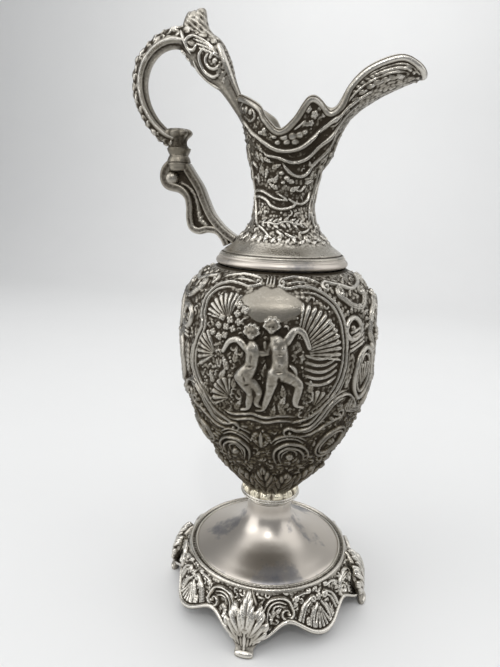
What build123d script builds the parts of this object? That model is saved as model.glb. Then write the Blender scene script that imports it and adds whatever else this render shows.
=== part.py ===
"""Silver-plated ewer: a tall cast pitcher on a domed foot, with a scalloped mouth, a long spout and a
dragon-headed loop handle.

Frame: +Z is up, the table is z = 0, and the axis of the foot, knop, body and neck is the Z axis.
The spout points along +X, the handle is on -X, and the two cast halves of the body and of the neck
meet on the XZ plane. The front half is the one on -Y. All sizes are in millimetres.
"""

import math
import os

from build123d import *

# Heights of the seats, from the table up
ledge_z = 27.4  # the dome's edge on the skirt
stem_top_z = 56.0  # the knop on the dome's stem
knop_floor_z = 61.0  # the body in the knop
body_top_z = 183.4  # the collar on the body
collar_top_z = 188.4  # the neck on the collar
waist_z = 213.5  # the narrowest point of the neck

# Walls of the castings and of the spun dome
body_wall = 2.4
neck_wall = 2.0
dome_wall = 1.6
skirt_wall = 2.4

# Body
body_foot_radius = 9.5
body_radius = 48.3
body_lip_radius = 31.2
body_mouth_radius = 27.5
body_floor = 3.5
body_lip = 3.0
body_relief = 1.3
medallion_z = 146.0
medallion_width = 66.0
medallion_height = 64.0
medallion_frame = 2.6
head_radius = 3.2
fan_radius = 25.0
fan_ribs = 7
shell_radius = 10.5
shell_ribs = 5
seam_panel_angle = 24.0  # from the seam to the middle of the panels beside it
oval_width = 15.2
oval_height = 22.0
oval_drop = 7.0
ring_radius = 5.5
ring_rise = 15.0
body_leaves = 8
body_leaf_height = 27.0
body_leaf_width = 17.0

# Collar and knop
collar_radius = 32.6
collar_bore_radius = 27.3
knop_radius = 16.0
knop_bead = 1.3

# Neck
neck_base_radius = 30.6
waist_radius = 14.3
rim_bead = 0.9
rim_bead_depth = 2.6
ribbon_width = 1.9

# Foot
stem_radius = 12.3
dome_radius = 39.2
dome_edge = 2.0
border_radius = 43.8
border_line = 1.0
lobe_radius = 53.0
notch_radius = 48.6
feet = 4
pad_radius = 55.0  # from the axis to the middle of each pad
pad_length = 5.0
pad_width = 9.0
leaf_width = 17.0
skirt_relief = 1.1
shell_spread = 110.0  # angle over which the shell on each lobe opens
leaf_groove = 0.9

# Tie rod, its nut and washer, and the threaded boss inside the body
rod_radius = 2.5
rod_clearance = 0.2
thread_clearance = 0.05
rod_bottom_z = 43.0
rod_chamfer = 0.5
boss_neck_radius = 5.0
boss_clearance = 0.1
boss_flange_radius = 8.2
boss_flange = 2.2
boss_cap_radius = 4.8
boss_cap = 8.0
boss_roof = 2.0
washer_radius = 8.0
washer_thickness = 1.5
nut_across_flats = 8.0
nut_height = 4.5

# Handle
solder_gap = 0.15
ferrule_x = -54.2
ferrule_top_z = 238.0
ferrule_bottom_z = 231.0
ferrule_radius = 5.4
strap_thickness = 4.2
strap_width = 8.6
web_width = 5.0
rim_tube_width = 7.6
volute_radius = 4.2
eye_radius = 1.4
eye_x = -35.4
eye_z = 276.0
eye_side = 5.6

down = Axis((0, 0, 0), (0, 0, -1))
front = Plane.XZ  # its normal is -Y, so that an extrusion from it goes into the front half
turn = 360.0

os.makedirs("parts", exist_ok=True)


def keep(part, name):
    """Labels a finished piece and writes it to its own file."""
    part.label = name
    export_step(part, f"parts/{name}.step")


def grown(points, amount):
    """An outline's points moved along its normals, to the right of its direction."""
    moved = []
    for here, (x, y) in enumerate(points):
        before = points[max(here - 1, 0)]
        after = points[min(here + 1, len(points) - 1)]
        run = math.hypot(after[0] - before[0], after[1] - before[1])
        moved.append((x + amount * (after[1] - before[1]) / run, y - amount * (after[0] - before[0]) / run))
    return moved


def front_half(outline):
    """Solid of the front half turned from an outline of radius and height, closed on the axis."""
    with BuildPart(mode=Mode.PRIVATE) as half:
        with BuildSketch(front):
            with BuildLine():
                side = Spline(*outline)
                Polyline(side @ 1, (0, outline[-1][1]), (0, outline[0][1]), side @ 0)
            make_face()
        revolve(axis=down, revolution_arc=turn / 2)
    return half.part


def radial_plane(angle):
    """Plane through the axis whose normal points outwards at an angle from +X, with its y up."""
    way = math.radians(angle)
    return Plane((0, 0, 0), x_dir=(-math.sin(way), math.cos(way), 0), z_dir=(math.cos(way), math.sin(way), 0))


def bands(lines):
    """Sketch of bands of given widths along smooth lines through points, with round ends."""
    with BuildSketch(mode=Mode.PRIVATE) as drawn:
        for knots, width in lines:
            with BuildLine():
                Spline(*knots)
            trace(line_width=width)
            with Locations(knots[0], knots[-1]):
                Circle(width / 2)
    return drawn.sketch


def jointed(lines):
    """Sketch of bands of given widths along straight runs, round at every joint."""
    with BuildSketch(mode=Mode.PRIVATE) as drawn:
        for joints, width in lines:
            for start, end in zip(joints, joints[1:]):
                with BuildLine():
                    Line(start, end)
                trace(line_width=width)
            with Locations(*joints):
                Circle(width / 2)
    return drawn.sketch


def ribs(x, z, aim, spread, count, radius):
    """Sketch of a fan of wedges that open from a hub, with gaps between them."""
    pitch = math.radians(spread) / count
    flank = [(0.2, 0.28), (0.95, 0.36), (1.0, 0.2)]  # a rib's side, in shares of the radius and the pitch
    with BuildSketch(mode=Mode.PRIVATE) as drawn:
        for rib in range(count):
            corners = []
            for reach, share in flank + [(reach, -share) for reach, share in reversed(flank)]:
                way = math.radians(aim - spread / 2) + pitch * (rib + 0.5 + share)
                corners.append((x + radius * reach * math.cos(way), z + radius * reach * math.sin(way)))
            with BuildLine():
                Polyline(*corners, close=True)
            make_face()
    return drawn.sketch


# Body: its outline without ornament, from the knop to the lip, as radius and height
body_height = body_top_z - knop_floor_z
body_sides = [(0.29, 0.045), (0.435, 0.114), (0.648, 0.22), (0.828, 0.351), (0.948, 0.498),
              (1.0, 0.67), (0.969, 0.858), (0.894, 0.923), (0.772, 0.972)]
body_outline = [(body_foot_radius, knop_floor_z)]
body_outline += [(body_radius * radius, knop_floor_z + body_height * height) for radius, height in body_sides]
body_outline += [(body_lip_radius, body_top_z)]
body_floor_z = knop_floor_z + body_floor
body_inside = [(boss_flange_radius + boss_clearance + 1, body_floor_z)]
body_inside += grown(body_outline, -body_wall)[2:-1]
body_inside += [(body_mouth_radius, body_top_z - body_lip)]
body_envelope = [body_outline[0]] + grown(body_outline, body_relief)[1:-1] + [body_outline[-1]]

# Two small dancing figures: each limb's joints, from the medallion's middle, and its width
figure_limbs = [
    ([(-2.9, 11), (-3.4, 5), (-4.5, -1), (-4.6, -6.5)], 6.0),
    ([(-6.3, 6.5), (-11.6, 10), (-15.3, 5)], 2.8),
    ([(-3.4, 5.5), (0.8, 3.5), (3.6, 3.5)], 2.6),
    ([(-4.6, -6.5), (-8.9, -10.4), (-3.9, -15.5), (-2.0, -17.5)], 3.4),
    ([(-5.6, -8), (-10.2, -13.4), (-14.5, -17), (-16.8, -19)], 3.0),
    ([(6.2, 12), (8.6, 5), (8.4, -1), (8.6, -6.5)], 6.2),
    ([(10.6, 9), (14.4, 15), (19.8, 9.5)], 2.8),
    ([(7.0, 8.5), (2.7, 10), (-0.6, 7)], 2.6),
    ([(8.2, -7), (5.6, -14), (3.4, -19), (1.0, -21)], 3.5),
    ([(9.6, -7), (14.3, -9.4), (13.0, -15.5), (15.8, -19)], 3.1),
]
figure_heads = [(-3.3, 15), (5.4, 16.4)]

# Ribbed fans on the medallion: the hub's place from its middle, the way it opens, its spread, ribs and radius
medallion_fans = [
    (13, 0, 42, 100, fan_ribs, fan_radius),
    (-16, 17.5, 110, 130, shell_ribs, shell_radius),
    (-22.5, 4, 160, 110, shell_ribs, shell_radius),
]

with BuildPart() as medallion:
    with BuildSketch(front):
        with Locations((0, medallion_z)):
            Ellipse(medallion_width / 2, medallion_height / 2)
            Ellipse(medallion_width / 2 - medallion_frame, medallion_height / 2 - medallion_frame,
                    mode=Mode.SUBTRACT)
    extrude(amount=body_radius * 2)
    add(front_half(body_envelope), mode=Mode.INTERSECT)

with BuildPart() as fans:
    with BuildSketch(front):
        with Locations((0, medallion_z)):
            for fan in medallion_fans:
                add(ribs(*fan))
    extrude(amount=body_radius * 2)
    add(front_half(body_envelope), mode=Mode.INTERSECT)

with BuildPart() as figures:
    with BuildSketch(front):
        with Locations((0, medallion_z)):
            add(jointed(figure_limbs))
        with Locations(*[(x, medallion_z + z) for x, z in figure_heads]):
            Circle(head_radius)
    extrude(amount=body_radius * 2)
    add(front_half(body_envelope), mode=Mode.INTERSECT)

# Beside the seams: an oval and a ring above it, on planes that face them
with BuildPart() as side_panels:
    for aim in (-seam_panel_angle, seam_panel_angle - turn / 2):
        with BuildSketch(radial_plane(aim)):
            with Locations((0, medallion_z - oval_drop)):
                Ellipse(oval_width / 2, oval_height / 2)
                Ellipse(oval_width / 2 - medallion_frame, oval_height / 2 - medallion_frame,
                        mode=Mode.SUBTRACT)
            with Locations((0, medallion_z + ring_rise)):
                Circle(ring_radius)
                Circle(ring_radius - medallion_frame, mode=Mode.SUBTRACT)
        extrude(amount=body_radius * 2)
    add(front_half(body_envelope), mode=Mode.INTERSECT)

with BuildPart() as body_scrolls:
    for side in (-1, 1):
        for x, z, radius, start, sweep_angle, width in [
            (12.5, 100.0, 5.0, 60, 250, 2.4),
            (25.0, 101.0, 4.6, -160, 250, 2.2),
            (33.5, 165.0, 4.0, -60, 240, 2.0),
        ]:
            with BuildSketch(front):
                with BuildLine():
                    CenterArc((side * x, z), radius, 90 - side * (90 - start), side * sweep_angle)
                trace(line_width=width)
                for end in (start, start + sweep_angle):
                    way = math.radians(end)
                    with Locations((side * (x + radius * math.cos(way)), z + radius * math.sin(way))):
                        Circle(width * 0.8)
            extrude(amount=body_radius * 2)
    add(front_half(body_envelope), mode=Mode.INTERSECT)

with BuildPart() as body_leaf_ring:
    for leaf in range(body_leaves):
        with BuildSketch(radial_plane(turn * leaf / body_leaves)):
            with BuildLine():
                edge = Spline((1.2, knop_floor_z + 1),
                              (body_leaf_width * 0.3, knop_floor_z + body_leaf_height * 0.4),
                              (body_leaf_width * 0.5, knop_floor_z + body_leaf_height * 0.68),
                              (0, knop_floor_z + body_leaf_height))
                mirror(about=Plane.YZ)
                Line((1.2, knop_floor_z + 1), (-1.2, knop_floor_z + 1))
            make_face()
        extrude(amount=body_radius * 2)
    add(front_half(body_envelope), mode=Mode.INTERSECT)

with BuildPart() as body_front:
    add(front_half(body_outline))
    add(medallion.part)
    add(fans.part)
    add(figures.part)
    add(body_scrolls.part)
    add(body_leaf_ring.part)
    add(side_panels.part)
    add(front_half(body_inside), mode=Mode.SUBTRACT)
    with BuildSketch(Plane.XY.offset(knop_floor_z)):
        Circle(boss_neck_radius + boss_clearance)
    extrude(amount=body_floor, mode=Mode.SUBTRACT)
    with BuildSketch(Plane.XY.offset(body_top_z)):
        Circle(body_mouth_radius)
    extrude(amount=-body_lip, mode=Mode.SUBTRACT)

with BuildPart() as body_back:
    mirror(body_front.part, about=front)

keep(body_front.part, "body_front_half")
keep(body_back.part, "body_back_half")

# Knop, the cup that the body stands in
with BuildPart() as knop:
    with BuildSketch(front):
        with BuildLine():
            bore = rod_radius + rod_clearance
            wall = Spline((stem_radius + 0.6, stem_top_z), (stem_radius + 1.1, stem_top_z + 1.4),
                          (knop_radius - 2 * knop_bead, stem_top_z + 2.4), (knop_radius, knop_floor_z - 1),
                          (knop_radius - knop_bead, knop_floor_z + knop_bead),
                          (body_foot_radius + 3, knop_floor_z))
            Polyline(wall @ 1, (bore, knop_floor_z), (bore, stem_top_z), wall @ 0)
        make_face()
    revolve(axis=Axis.Z)

keep(knop.part, "knop")

# Dome: a spun shell, its edge on the skirt's ledge
with BuildPart() as dome:
    with BuildSketch(front):
        with BuildLine():
            rise = stem_top_z - ledge_z - dome_edge
            spread = dome_radius - stem_radius
            slope = Spline((dome_radius, ledge_z + dome_edge),
                           (stem_radius + 0.8 * spread, ledge_z + dome_edge + 0.085 * rise),
                           (stem_radius + 0.4 * spread, ledge_z + dome_edge + 0.26 * rise),
                           (stem_radius + 0.14 * spread, ledge_z + dome_edge + 0.45 * rise),
                           (stem_radius, ledge_z + dome_edge + 0.7 * rise),
                           (stem_radius - 0.4, stem_top_z))
            Polyline(slope @ 1, (0, stem_top_z), (0, ledge_z), (dome_radius, ledge_z), slope @ 0)
        make_face()
    revolve(axis=Axis.Z)
    offset(amount=-dome_wall, openings=dome.faces().sort_by(Axis.Z)[0])
    with Locations((0, 0, stem_top_z)):
        Hole(rod_radius + rod_clearance)

keep(dome.part, "foot_dome")

# Skirt: a lobed casting with a bordered ledge, on four leaf feet
skirt_outline = [(border_radius, ledge_z + 1), (border_radius + 2.6, 20.5), (border_radius + 4.9, 13.5),
                 (border_radius + 7.4, 9.0), (border_radius + 9.4, 6.5), (border_radius + 11.6, 4.0)]
skirt_inside = grown(skirt_outline, skirt_wall)
skirt_envelope = grown(skirt_outline, -skirt_relief)

with BuildPart() as leaf_foot:
    with BuildSketch(front):
        with BuildLine():
            toe = pad_radius + pad_length / 2
            heel = pad_radius - pad_length / 2
            outside = Spline((border_radius - 1, ledge_z + 1.6), (border_radius + 4.2, ledge_z - 1),
                             (pad_radius - 3, 21), (pad_radius - 0.6, 15), (pad_radius - 0.2, 9),
                             (pad_radius + 0.6, 4), (toe, 1.5))
            inside = Spline((heel, 0), (pad_radius - 4.2, 6), (pad_radius - 6.8, 12), (border_radius + 1, 19),
                            (border_radius - 1.5, ledge_z - 3))
            Polyline(outside @ 1, (toe, 0), inside @ 0)
            Line(inside @ 1, outside @ 0)
        make_face()
    extrude(amount=leaf_width, both=True)
    with BuildSketch(Plane.YZ):
        with BuildLine():
            edge = Spline((pad_width / 2, 0), (pad_width / 2 - 0.5, 3), (leaf_width * 0.32, 8),
                          (leaf_width / 2, 14), (leaf_width * 0.46, 22), (1.5, ledge_z + 2))
            mirror(about=Plane.YZ)
            Line((pad_width / 2, 0), (-pad_width / 2, 0))
            Line((1.5, ledge_z + 2), (-1.5, ledge_z + 2))
        make_face()
    extrude(amount=pad_radius * 2, mode=Mode.INTERSECT)
    with BuildSketch(front):
        with BuildLine():
            vein = [(border_radius + 4.2, ledge_z - 1), (pad_radius - 3, 21), (pad_radius - 0.6, 15),
                    (pad_radius - 0.2, 9), (pad_radius + 0.6, 4)]
            Spline(*vein)
        trace(line_width=2 * leaf_groove)
    extrude(amount=leaf_groove / 2, both=True, mode=Mode.SUBTRACT)

with BuildPart() as skirt_scrolls:
    for lobe in range(feet):
        for side in (-1, 1):
            for reach, way_off, radius, start, sweep_angle, width in [
                (47.5, 13.5, 3.6, 70, 260, 1.7),
                (49.5, 6.5, 2.6, -110, 250, 1.5),
            ]:
                middle = math.radians(turn * (lobe + 0.5) / feet + side * way_off)
                with BuildSketch(Plane.XY):
                    with BuildLine():
                        aim = math.degrees(middle)
                        CenterArc((reach * math.cos(middle), reach * math.sin(middle)), radius,
                                  aim + side * start, side * sweep_angle)
                    trace(line_width=width)
                extrude(amount=ledge_z)
        with BuildSketch(Plane.XY.rotated((0, 0, turn * (lobe + 0.5) / feet))):
            add(ribs(border_radius - 3, 0, 0, shell_spread, shell_ribs, pad_radius - border_radius))
        extrude(amount=ledge_z)

with BuildPart() as skirt_band:
    with BuildSketch(front):
        with BuildLine():
            outer = Spline(*skirt_envelope)
            inner = Spline(*grown(skirt_outline, skirt_wall / 2))
            Line(outer @ 0, inner @ 0)
            Line(outer @ 1, inner @ 1)
        make_face()
    revolve(axis=Axis.Z)
    add(skirt_scrolls.part, mode=Mode.INTERSECT)

with BuildPart() as skirt:
    with BuildSketch(front):
        with BuildLine():
            channel = dome_radius + rod_clearance
            outer = Spline(*skirt_outline)
            inner = Spline(*skirt_inside)
            Line(outer @ 1, inner @ 1)
            Polyline(inner @ 0, (dome_radius - 3, ledge_z - skirt_wall), (dome_radius - 3, ledge_z),
                     (channel, ledge_z), (channel, ledge_z + dome_edge + 0.2),
                     (channel + border_line, ledge_z + dome_edge + 0.2),
                     (channel + border_line, ledge_z + 1), (border_radius - border_line, ledge_z + 1),
                     (border_radius - border_line, ledge_z + 1 + border_line),
                     (border_radius, ledge_z + 1 + border_line), outer @ 0)
        make_face()
    revolve(axis=Axis.Z)
    add(skirt_band.part)
    with BuildSketch(Plane.XY):
        with BuildLine():
            corners = []
            for corner in range(4 * feet):
                reach = (pad_radius, notch_radius, lobe_radius, notch_radius)[corner % 4]
                way = math.radians(turn * corner / (4 * feet))
                corners.append((reach * math.cos(way), reach * math.sin(way)))
            Spline(*corners, periodic=True)
        make_face()
    extrude(amount=stem_top_z, mode=Mode.INTERSECT)
    with PolarLocations(0, feet):
        add(leaf_foot.part)

keep(skirt.part, "foot_skirt")

# Tie rod with its washer and nut under the dome, and the threaded boss on the body's floor
with BuildPart() as boss:
    with BuildSketch(Plane.XY.offset(knop_floor_z)):
        Circle(boss_neck_radius)
    extrude(amount=body_floor)
    with BuildSketch(Plane.XY.offset(body_floor_z)):
        Circle(boss_flange_radius)
    extrude(amount=boss_flange)
    with BuildSketch(Plane.XY.offset(body_floor_z + boss_flange)):
        Circle(boss_cap_radius)
    extrude(amount=boss_cap)
    fillet(boss.edges().group_by(Axis.Z)[-1], rod_radius / 2)
    rod_top_z = body_floor_z + boss_flange + boss_cap - boss_roof
    with BuildSketch(Plane.XY.offset(knop_floor_z)):
        Circle(rod_radius + thread_clearance)
    extrude(amount=rod_top_z - knop_floor_z, mode=Mode.SUBTRACT)

with BuildPart() as rod:
    with BuildSketch(Plane.XY.offset(rod_bottom_z)):
        Circle(rod_radius)
    extrude(amount=rod_top_z - rod_clearance - rod_bottom_z)
    chamfer(rod.edges().filter_by(GeomType.CIRCLE), rod_chamfer)

washer_top_z = stem_top_z - dome_wall
with BuildPart() as washer:
    with BuildSketch(Plane.XY.offset(washer_top_z)):
        Circle(washer_radius)
        Circle(rod_radius + rod_clearance, mode=Mode.SUBTRACT)
    extrude(amount=-washer_thickness)

with BuildPart() as nut:
    with BuildSketch(Plane.XY.offset(washer_top_z - washer_thickness)):
        RegularPolygon(nut_across_flats / 2, 6, major_radius=False)
        Circle(rod_radius + thread_clearance, mode=Mode.SUBTRACT)
    extrude(amount=-nut_height)

keep(boss.part, "threaded_boss")
keep(rod.part, "tie_rod")
keep(washer.part, "tie_washer")
keep(nut.part, "tie_nut")

# Collar ring, soldered between the body and the neck
with BuildPart() as collar:
    with BuildSketch(front):
        with BuildLine():
            bulge = ThreePointArc((collar_radius - 0.9, body_top_z),
                                  (collar_radius, body_top_z + 0.4 * (collar_top_z - body_top_z)),
                                  (neck_base_radius + 0.4, collar_top_z))
            Polyline(bulge @ 1, (collar_bore_radius, collar_top_z), (collar_bore_radius, body_top_z),
                     bulge @ 0)
        make_face()
    revolve(axis=Axis.Z)

keep(collar.part, "collar_ring")

# Neck: a turned bowl, with a trough along it that becomes the spout
neck_top_z = 282.0
bowl_height = neck_top_z - waist_z
bowl_outline = [(neck_base_radius, collar_top_z), (neck_base_radius - 0.2, collar_top_z + 1),
                (neck_base_radius - 2.3, collar_top_z + 2.6), (neck_base_radius - 7, collar_top_z + 6.1),
                (waist_radius + 4.6, collar_top_z + 11.6), (waist_radius + 1.3, collar_top_z + 17.6),
                (waist_radius, waist_z)]
bowl_flare = [(0.7, 0.124), (2.7, 0.263), (5.3, 0.4), (7.9, 0.56), (9.9, 0.737), (11.1, 1)]
bowl_outline += [(waist_radius + flare, waist_z + share * bowl_height) for flare, share in bowl_flare]
bowl_inside = [(collar_bore_radius, collar_top_z)] + grown(bowl_outline, -neck_wall)[2:-1]
bowl_inside += [(bowl_outline[-1][0] - neck_wall, neck_top_z)]

# The trough's underside from the axis to the tip, and its half width and the depth of its round floor there
trough_line = [(2, 222), (18, 231), (24, 245), (30, 253.4), (40, 260.5), (50, 265.4), (57, 268.2),
               (61, 270.4)]
trough_shape = [(12.5, 9), (13.2, 9), (13, 8.5), (12, 8), (10.4, 6.5), (9.2, 5.5), (7.8, 4.5), (5.6, 3.5)]

# The mouth seen from the side: down from the handle, a deep dip, a crest, a small dip, and along the spout
mouth_line = [(-34, 264), (-22, 260.6), (-10.4, 254.6), (-6.5, 249.2), (-0.7, 244.5), (5, 248.6),
              (9.2, 255.2), (13.2, 258.4), (16.6, 256.2), (20.5, 253.3), (24.2, 256.2), (28, 264.6),
              (36.3, 272.2), (48.8, 276.4), (57.7, 272.5), (66, 264)]


def turned(outline):
    """Solid turned from an outline of radius and height, closed on the axis."""
    with BuildPart(mode=Mode.PRIVATE) as whole:
        with BuildSketch(front):
            with BuildLine():
                side = Spline(*outline)
                Polyline(side @ 1, (0, outline[-1][1]), (0, outline[0][1]), side @ 0)
            make_face()
        revolve(axis=Axis.Z)
    return whole.part


def trough(amount):
    """Solid of the spout's trough, filled up to the neck's top, its sections grown by an amount."""
    with BuildPart(mode=Mode.PRIVATE) as form:
        for (x, z), (half_width, depth) in zip(grown(trough_line, amount), trough_shape):
            with BuildSketch(Plane((x, 0, 0), x_dir=(0, 1, 0), z_dir=(1, 0, 0))):
                with BuildLine():
                    brim = neck_top_z + rim_bead
                    floor = EllipticalCenterArc((0, z + depth), half_width + amount, depth, start_angle=180,
                                                arc_size=180)
                    Polyline(floor @ 0, ((floor @ 0).X, brim), ((floor @ 1).X, brim), floor @ 1)
                make_face()
        loft()
    return form.part


def beside_mouth(low, high):
    """Solid between the mouth's line moved down by one height and up by another."""
    with BuildPart(mode=Mode.PRIVATE) as slab:
        with BuildSketch(front):
            with BuildLine():
                under = Spline(*[(x, z - low) for x, z in mouth_line])
                over = Spline(*[(x, z + high) for x, z in mouth_line])
                Line(under @ 0, over @ 0)
                Line(under @ 1, over @ 1)
            make_face()
        extrude(amount=neck_base_radius, both=True)
    return slab.part


with BuildPart() as neck_inside:
    add(turned(bowl_inside))
    add(trough(-neck_wall))

with BuildPart() as neck_envelope:
    add(turned(grown(bowl_outline, rim_bead)[:-1] + [(bowl_outline[-1][0] + rim_bead, neck_top_z)]))
    add(trough(rim_bead))
    add(neck_inside.part, mode=Mode.SUBTRACT)

with BuildPart() as rolled_rim:
    add(neck_envelope.part)
    add(beside_mouth(rim_bead_depth, 0), mode=Mode.INTERSECT)

# Ribbons across the neck, seen from the front, and the festoon under them
ribbon_lines = [
    ([(-19, 251), (-11.5, 243.6), (-5.8, 238.2), (1, 235.4), (8, 236.6), (15.5, 244), (24, 254),
      (33, 261.5), (44, 268)], ribbon_width),
    ([(-5.6, 234.4), (2, 231.6), (8, 230.8), (13, 234.4), (17.5, 242)], ribbon_width),
    ([(-9.6, 216.6), (-5, 212.4), (2, 210.2), (8, 211), (11, 214)], ribbon_width),
    ([(-12.6, 228), (-12.2, 218), (-11.4, 209), (-12.4, 203)], ribbon_width * 0.8),
    ([(12.8, 226), (12.6, 216), (13.6, 206), (16, 201)], ribbon_width * 0.8),
]

with BuildPart() as ribbons:
    with BuildSketch(front):
        add(bands(ribbon_lines))
    extrude(amount=neck_base_radius)
    add(neck_envelope.part, mode=Mode.INTERSECT)

with BuildPart() as neck:
    add(turned(bowl_outline))
    add(trough(0))
    add(neck_inside.part, mode=Mode.SUBTRACT)
    add(beside_mouth(0, neck_top_z), mode=Mode.SUBTRACT)
    add(rolled_rim.part)
    add(ribbons.part)

with BuildPart() as neck_front:
    add(neck.part)
    split(bisect_by=front, keep=Keep.TOP)

with BuildPart() as neck_back:
    mirror(neck_front.part, about=front)

keep(neck_front.part, "neck_front_half")
keep(neck_back.part, "neck_back_half")

# The room that the ends of the handle leave for the neck and its solder
with BuildPart() as neck_room:
    add(turned(grown(bowl_outline, solder_gap)))
    add(beside_mouth(-solder_gap, neck_top_z), mode=Mode.SUBTRACT)

with BuildPart() as rim_room:
    add(turned(grown(bowl_outline, rim_bead + solder_gap)))
    add(beside_mouth(rim_bead_depth + solder_gap, solder_gap), mode=Mode.INTERSECT)

# Handle: the arch from its cuff round to the dragon's head, which bites the mouth's edge
arch_sections = [(-20.0, 250.5, 2.6, 3.4), (-23.5, 256.0, 2.8, 3.6), (-29.5, 265.5, 4.2, 4.5),
                 (-34.8, 273.5, 7.2, 6.0), (-41.0, 281.0, 8.6, 6.2), (-49.0, 286.0, 6.8, 5.6),
                 (-57.0, 287.0, 5.8, 5.2), (-65.0, 284.0, 5.2, 5.0), (-71.2, 277.5, 5.0, 5.0),
                 (-73.9, 268.5, 4.9, 5.0), (-72.5, 259.0, 4.7, 5.0), (-68.0, 250.5, 4.6, 4.8),
                 (-61.5, 244.2, 4.5, 4.8), (-55.6, 241.6, 4.2, 4.6)]

with BuildPart() as arch:
    for here, (x, z, thick, wide) in enumerate(arch_sections):
        before = arch_sections[max(here - 1, 0)]
        after = arch_sections[min(here + 1, len(arch_sections) - 1)]
        along = (after[0] - before[0], 0, after[1] - before[1])
        with BuildSketch(Plane((x, 0, z), x_dir=(0, 1, 0), z_dir=along)):
            Ellipse(wide, thick)
    loft()
    with BuildSketch(front):
        with BuildLine():
            crest = Spline((-56, 288), (-52.6, 293.6), (-51, 297.4), (-49.2, 299), (-46.6, 299.2), (-44, 300),
                           (-41.6, 299.4), (-40.8, 295.4), (-39.4, 291.2), (-35.5, 287.6), (-31.4, 284.6),
                           (-31.5, 279))
            Line(crest @ 1, crest @ 0)
        make_face()
    extrude(amount=3.4, both=True)
    with BuildSketch(Plane.XY.offset(ferrule_top_z)):
        with Locations((ferrule_x, 0)):
            Circle(ferrule_radius)
    with BuildSketch(Plane.XY.offset(ferrule_top_z + 3)):
        with Locations((ferrule_x, 0)):
            Circle(ferrule_radius - 0.8)
    with BuildSketch(Plane.XY.offset(ferrule_top_z + 6.5)):
        with Locations((ferrule_x - 0.6, 0)):
            Ellipse(ferrule_radius + 1.4, ferrule_radius + 0.6)
    loft()
    split(bisect_by=Plane.XY.offset(ferrule_top_z), keep=Keep.TOP)
    with Locations((eye_x, -eye_side, eye_z), (eye_x, eye_side, eye_z)):
        Sphere(eye_radius)
    add(neck_room.part, mode=Mode.SUBTRACT)
    add(rim_room.part, mode=Mode.SUBTRACT)

keep(arch.part, "handle_arch")

# Ferrule between the arch and the lower scroll
with BuildPart() as ferrule:
    with BuildSketch(front):
        with BuildLine():
            ferrule_height = ferrule_top_z - ferrule_bottom_z
            waist = Spline((ferrule_x + ferrule_radius, ferrule_bottom_z),
                           (ferrule_x + ferrule_radius + 0.3, ferrule_bottom_z + 0.15 * ferrule_height),
                           (ferrule_x + ferrule_radius - 0.7, ferrule_bottom_z + 0.5 * ferrule_height),
                           (ferrule_x + ferrule_radius + 0.3, ferrule_bottom_z + 0.85 * ferrule_height),
                           (ferrule_x + ferrule_radius, ferrule_top_z))
            Polyline(waist @ 1, (ferrule_x, ferrule_top_z), (ferrule_x, ferrule_bottom_z), waist @ 0)
        make_face()
    revolve(axis=Axis((ferrule_x, 0, 0), (0, 0, 1)))

keep(ferrule.part, "handle_ferrule")

# Lower scroll: a web with a strap along its inner side and a thin raised rim along its outer side
scroll_inner = [(ferrule_x + ferrule_radius, ferrule_bottom_z), (-45.3, 226.0), (-41.5, 220.4), (-38.6, 214),
                (-35.2, 207.4), (-30.6, 202), (-26.4, 198.6), (-20.0, 195.0)]
scroll_outer = [(ferrule_x - ferrule_radius, ferrule_bottom_z), (-61.6, 227), (-62.4, 223), (-60.6, 219.6),
                (-54.4, 217.8), (-50.6, 214.4), (-49.3, 209.6), (-49.2, 204), (-47.9, 199.4), (-44.4, 197.8),
                (-39.6, 198.8), (-34.6, 198.0), (-31.2, 194.6), (-29.0, 189.0)]

with BuildPart() as scroll:
    with BuildSketch(front):
        with BuildLine():
            inner = Spline(*scroll_inner)
            outer = Spline(*scroll_outer)
            Line(inner @ 0, outer @ 0)
            Polyline(inner @ 1, (-20, 189), outer @ 1)
        make_face()
    extrude(amount=web_width / 2, both=True)
    with BuildSketch(front):
        with BuildLine():
            inner = Spline(*scroll_inner)
            strap = Spline(*grown(scroll_inner, strap_thickness))
            Line(inner @ 0, strap @ 0)
            Line(inner @ 1, strap @ 1)
        make_face()
    extrude(amount=strap_width / 2, both=True)
    with BuildSketch(front):
        with BuildLine():
            outer = Spline(*scroll_outer)
            rim = Spline(*grown(scroll_outer, -strap_thickness / 2))
            Line(outer @ 0, rim @ 0)
            Line(outer @ 1, rim @ 1)
        make_face()
    extrude(amount=rim_tube_width / 2, both=True)
    with Locations((ferrule_x - 4, 0, 223.6)):
        Sphere(volute_radius)
    add(neck_room.part, mode=Mode.SUBTRACT)
    split(bisect_by=Plane.XY.offset(ferrule_bottom_z), keep=Keep.BOTTOM)

keep(scroll.part, "handle_scroll")
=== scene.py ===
"""Looks of a cast and chased, silver-plated ewer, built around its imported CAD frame.

The shapes are worked out in millimetres and become meshes in metres. An angle round the axis is
counted from the front, -Y, and grows towards the spout, +X. Every cast piece is a grid of points on
its plain wall, which the chasing then raises along the wall's normals.
"""
import math

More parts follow.
